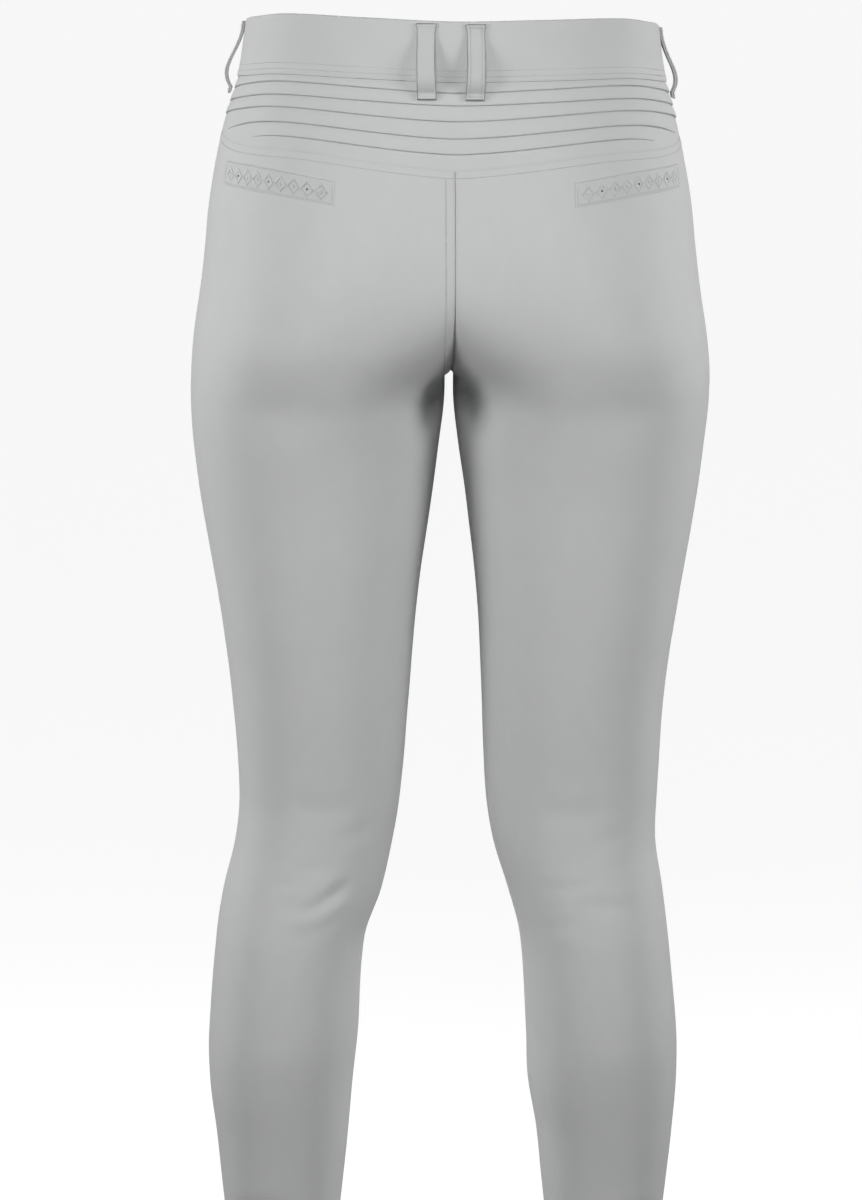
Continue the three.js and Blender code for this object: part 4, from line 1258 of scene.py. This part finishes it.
def panel_stitches():
    lines = []
    # the row below the yoke's seam, from side seam to side seam
    for side in (LEFT, RIGHT):
        share = np.linspace(0.004, 0.995, 240)
        z = -(yoke_depth(YOKE_SEAM, share) + SEAM_GAP / 2 + YOKE_ROW)
        lines.append(row_in_cloth(side, 1 - share / 2, z, np.full(share.shape, -GROOVE)))
    # the centre back's row, on the wearer's left of the seam
    z = np.linspace(-(YOKE_SEAM["centre"] + YOKE_ROW + 1), CROTCH_Z + 1, 260)
    lines.append(row_in_cloth(LEFT, u_across(LEFT, z, SEAM_ROW), z, np.zeros(z.shape)))
    # the centre front's row, below the fly
    z = np.linspace(-(FLY_END + 4), CROTCH_Z + 8, 90)
    lines.append(row_in_cloth(RIGHT, u_from("front", RIGHT, z, np.full(z.shape, 4.5)), z, np.zeros(z.shape)))
    # two rows above each hem
    for side in (LEFT, RIGHT):
        for up in (14.5, 17.5):
            u = np.linspace(0.004, 0.996, 300)
            z = np.full(u.shape, float(HEM_Z + up))
            lines.append(row_in_cloth(side, u, z, np.full(u.shape, HEM_PROUD * 0.9 - 0.05)))
    piece = add_stitches("panel_stitches", lines, THREAD_LOOK)
    return piece


# ---- camera, lights, floor ---------------------------------------------------

CAMERA_AT = (0.0967, 3.2, 0.15)
CAMERA_AIM = (0.01295, 0, -0.41)
CAMERA_LENS = 139.3
FLOOR_Z = -0.985


def camera():
    data = bpy.data.cameras.new("camera")
    data.lens = CAMERA_LENS
    data.clip_end = 200
    eye = bpy.data.objects.new("camera", data)
    eye.location = CAMERA_AT
    eye.rotation_mode = "QUATERNION"
    eye.rotation_quaternion = (Vector(CAMERA_AIM) - Vector(CAMERA_AT)).to_track_quat("-Z", "Y")
    bpy.context.scene.collection.objects.link(eye)
    bpy.context.scene.camera = eye


LIGHTS = [
    # name, place, size, power
    ("side_left_back", (2.3, 1.5, 0.2), 1.1, 4.95),
    ("side_right_back", (-2.3, 1.5, 0.2), 1.1, 4.95),
    ("side_left_front", (2.3, -1.5, 0.2), 1.1, 4.95),
    ("side_right_front", (-2.3, -1.5, 0.2), 1.1, 4.95),
    ("high_back", (0.2, 2.3, 1.0), 1.2, 4.4),
    ("high_front", (-0.2, -2.3, 1.0), 1.2, 4.4),
]
LIGHTS_AIM = (0, 0, -0.15)
LIGHTS_SPREAD = 70
WORLD_SEEN = 0.93
WORLD_LIGHT = 0.17
FLOOR_COLOUR = 0.2
FLOOR_SEEN = 0.89


def lights():
    for name, place, size, power in LIGHTS:
        data = bpy.data.lights.new(name, "AREA")
        data.shape = "DISK"
        data.size = size
        data.energy = power
        data.spread = math.radians(LIGHTS_SPREAD)
        lamp = bpy.data.objects.new(name, data)
        lamp.location = place
        aim = Vector(LIGHTS_AIM) - Vector(place)
        lamp.rotation_mode = "QUATERNION"
        lamp.rotation_quaternion = aim.to_track_quat("-Z", "Y")
        bpy.context.scene.collection.objects.link(lamp)


def seen_as(tree, socket, seen, unseen):
    """One strength where the camera looks straight at it, and another as a light on the cloth."""
    path = tree.nodes.new("ShaderNodeLightPath")
    strength = tree.nodes.new("ShaderNodeMapRange")
    strength.inputs["To Min"].default_value = unseen
    strength.inputs["To Max"].default_value = seen
    tree.links.new(path.outputs["Is Camera Ray"], strength.inputs["Value"])
    tree.links.new(strength.outputs["Result"], socket)


def world():
    """A white studio: bright where it is seen, and a weaker, even light on the cloth."""
    made = bpy.data.worlds.new("studio")
    bpy.context.scene.world = made
    made.use_nodes = True
    back = made.node_tree.nodes["Background"]
    back.inputs["Color"].default_value = (1, 1, 1, 1)
    seen_as(made.node_tree, back.inputs["Strength"], WORLD_SEEN, WORLD_LIGHT)
    bpy.context.scene.view_settings.view_transform = "Standard"


def floor():
    size = 60.0
    corners = [(-size, -size, FLOOR_Z), (size, -size, FLOOR_Z), (size, size, FLOOR_Z), (-size, size, FLOOR_Z)]
    mesh = bpy.data.meshes.new("floor")
    mesh.from_pydata(corners, [], [(0, 1, 2, 3)])
    material, tree, shader = new_material("pale_floor", (FLOOR_COLOUR,) * 3, 0.8)
    shader.inputs["Specular IOR Level"].default_value = 0.2
    shader.inputs["Emission Color"].default_value = (1, 1, 1, 1)
    seen_as(tree, shader.inputs["Emission Strength"], FLOOR_SEEN, 0)
    mesh.materials.append(material)
    ground = bpy.data.objects.new("floor", mesh)
    bpy.context.scene.collection.objects.link(ground)


camera()
lights()
world()
floor()
waistband()
back_yoke()
for word, side in (("left", LEFT), ("right", RIGHT)):
    leg_panel("front_" + word, side, False)
    leg_panel("back_" + word, side, True)
    pocket_welt(word, side)
fly()
for loop in LOOPS:
    belt_loop(loop)
button()
panel_stitches()
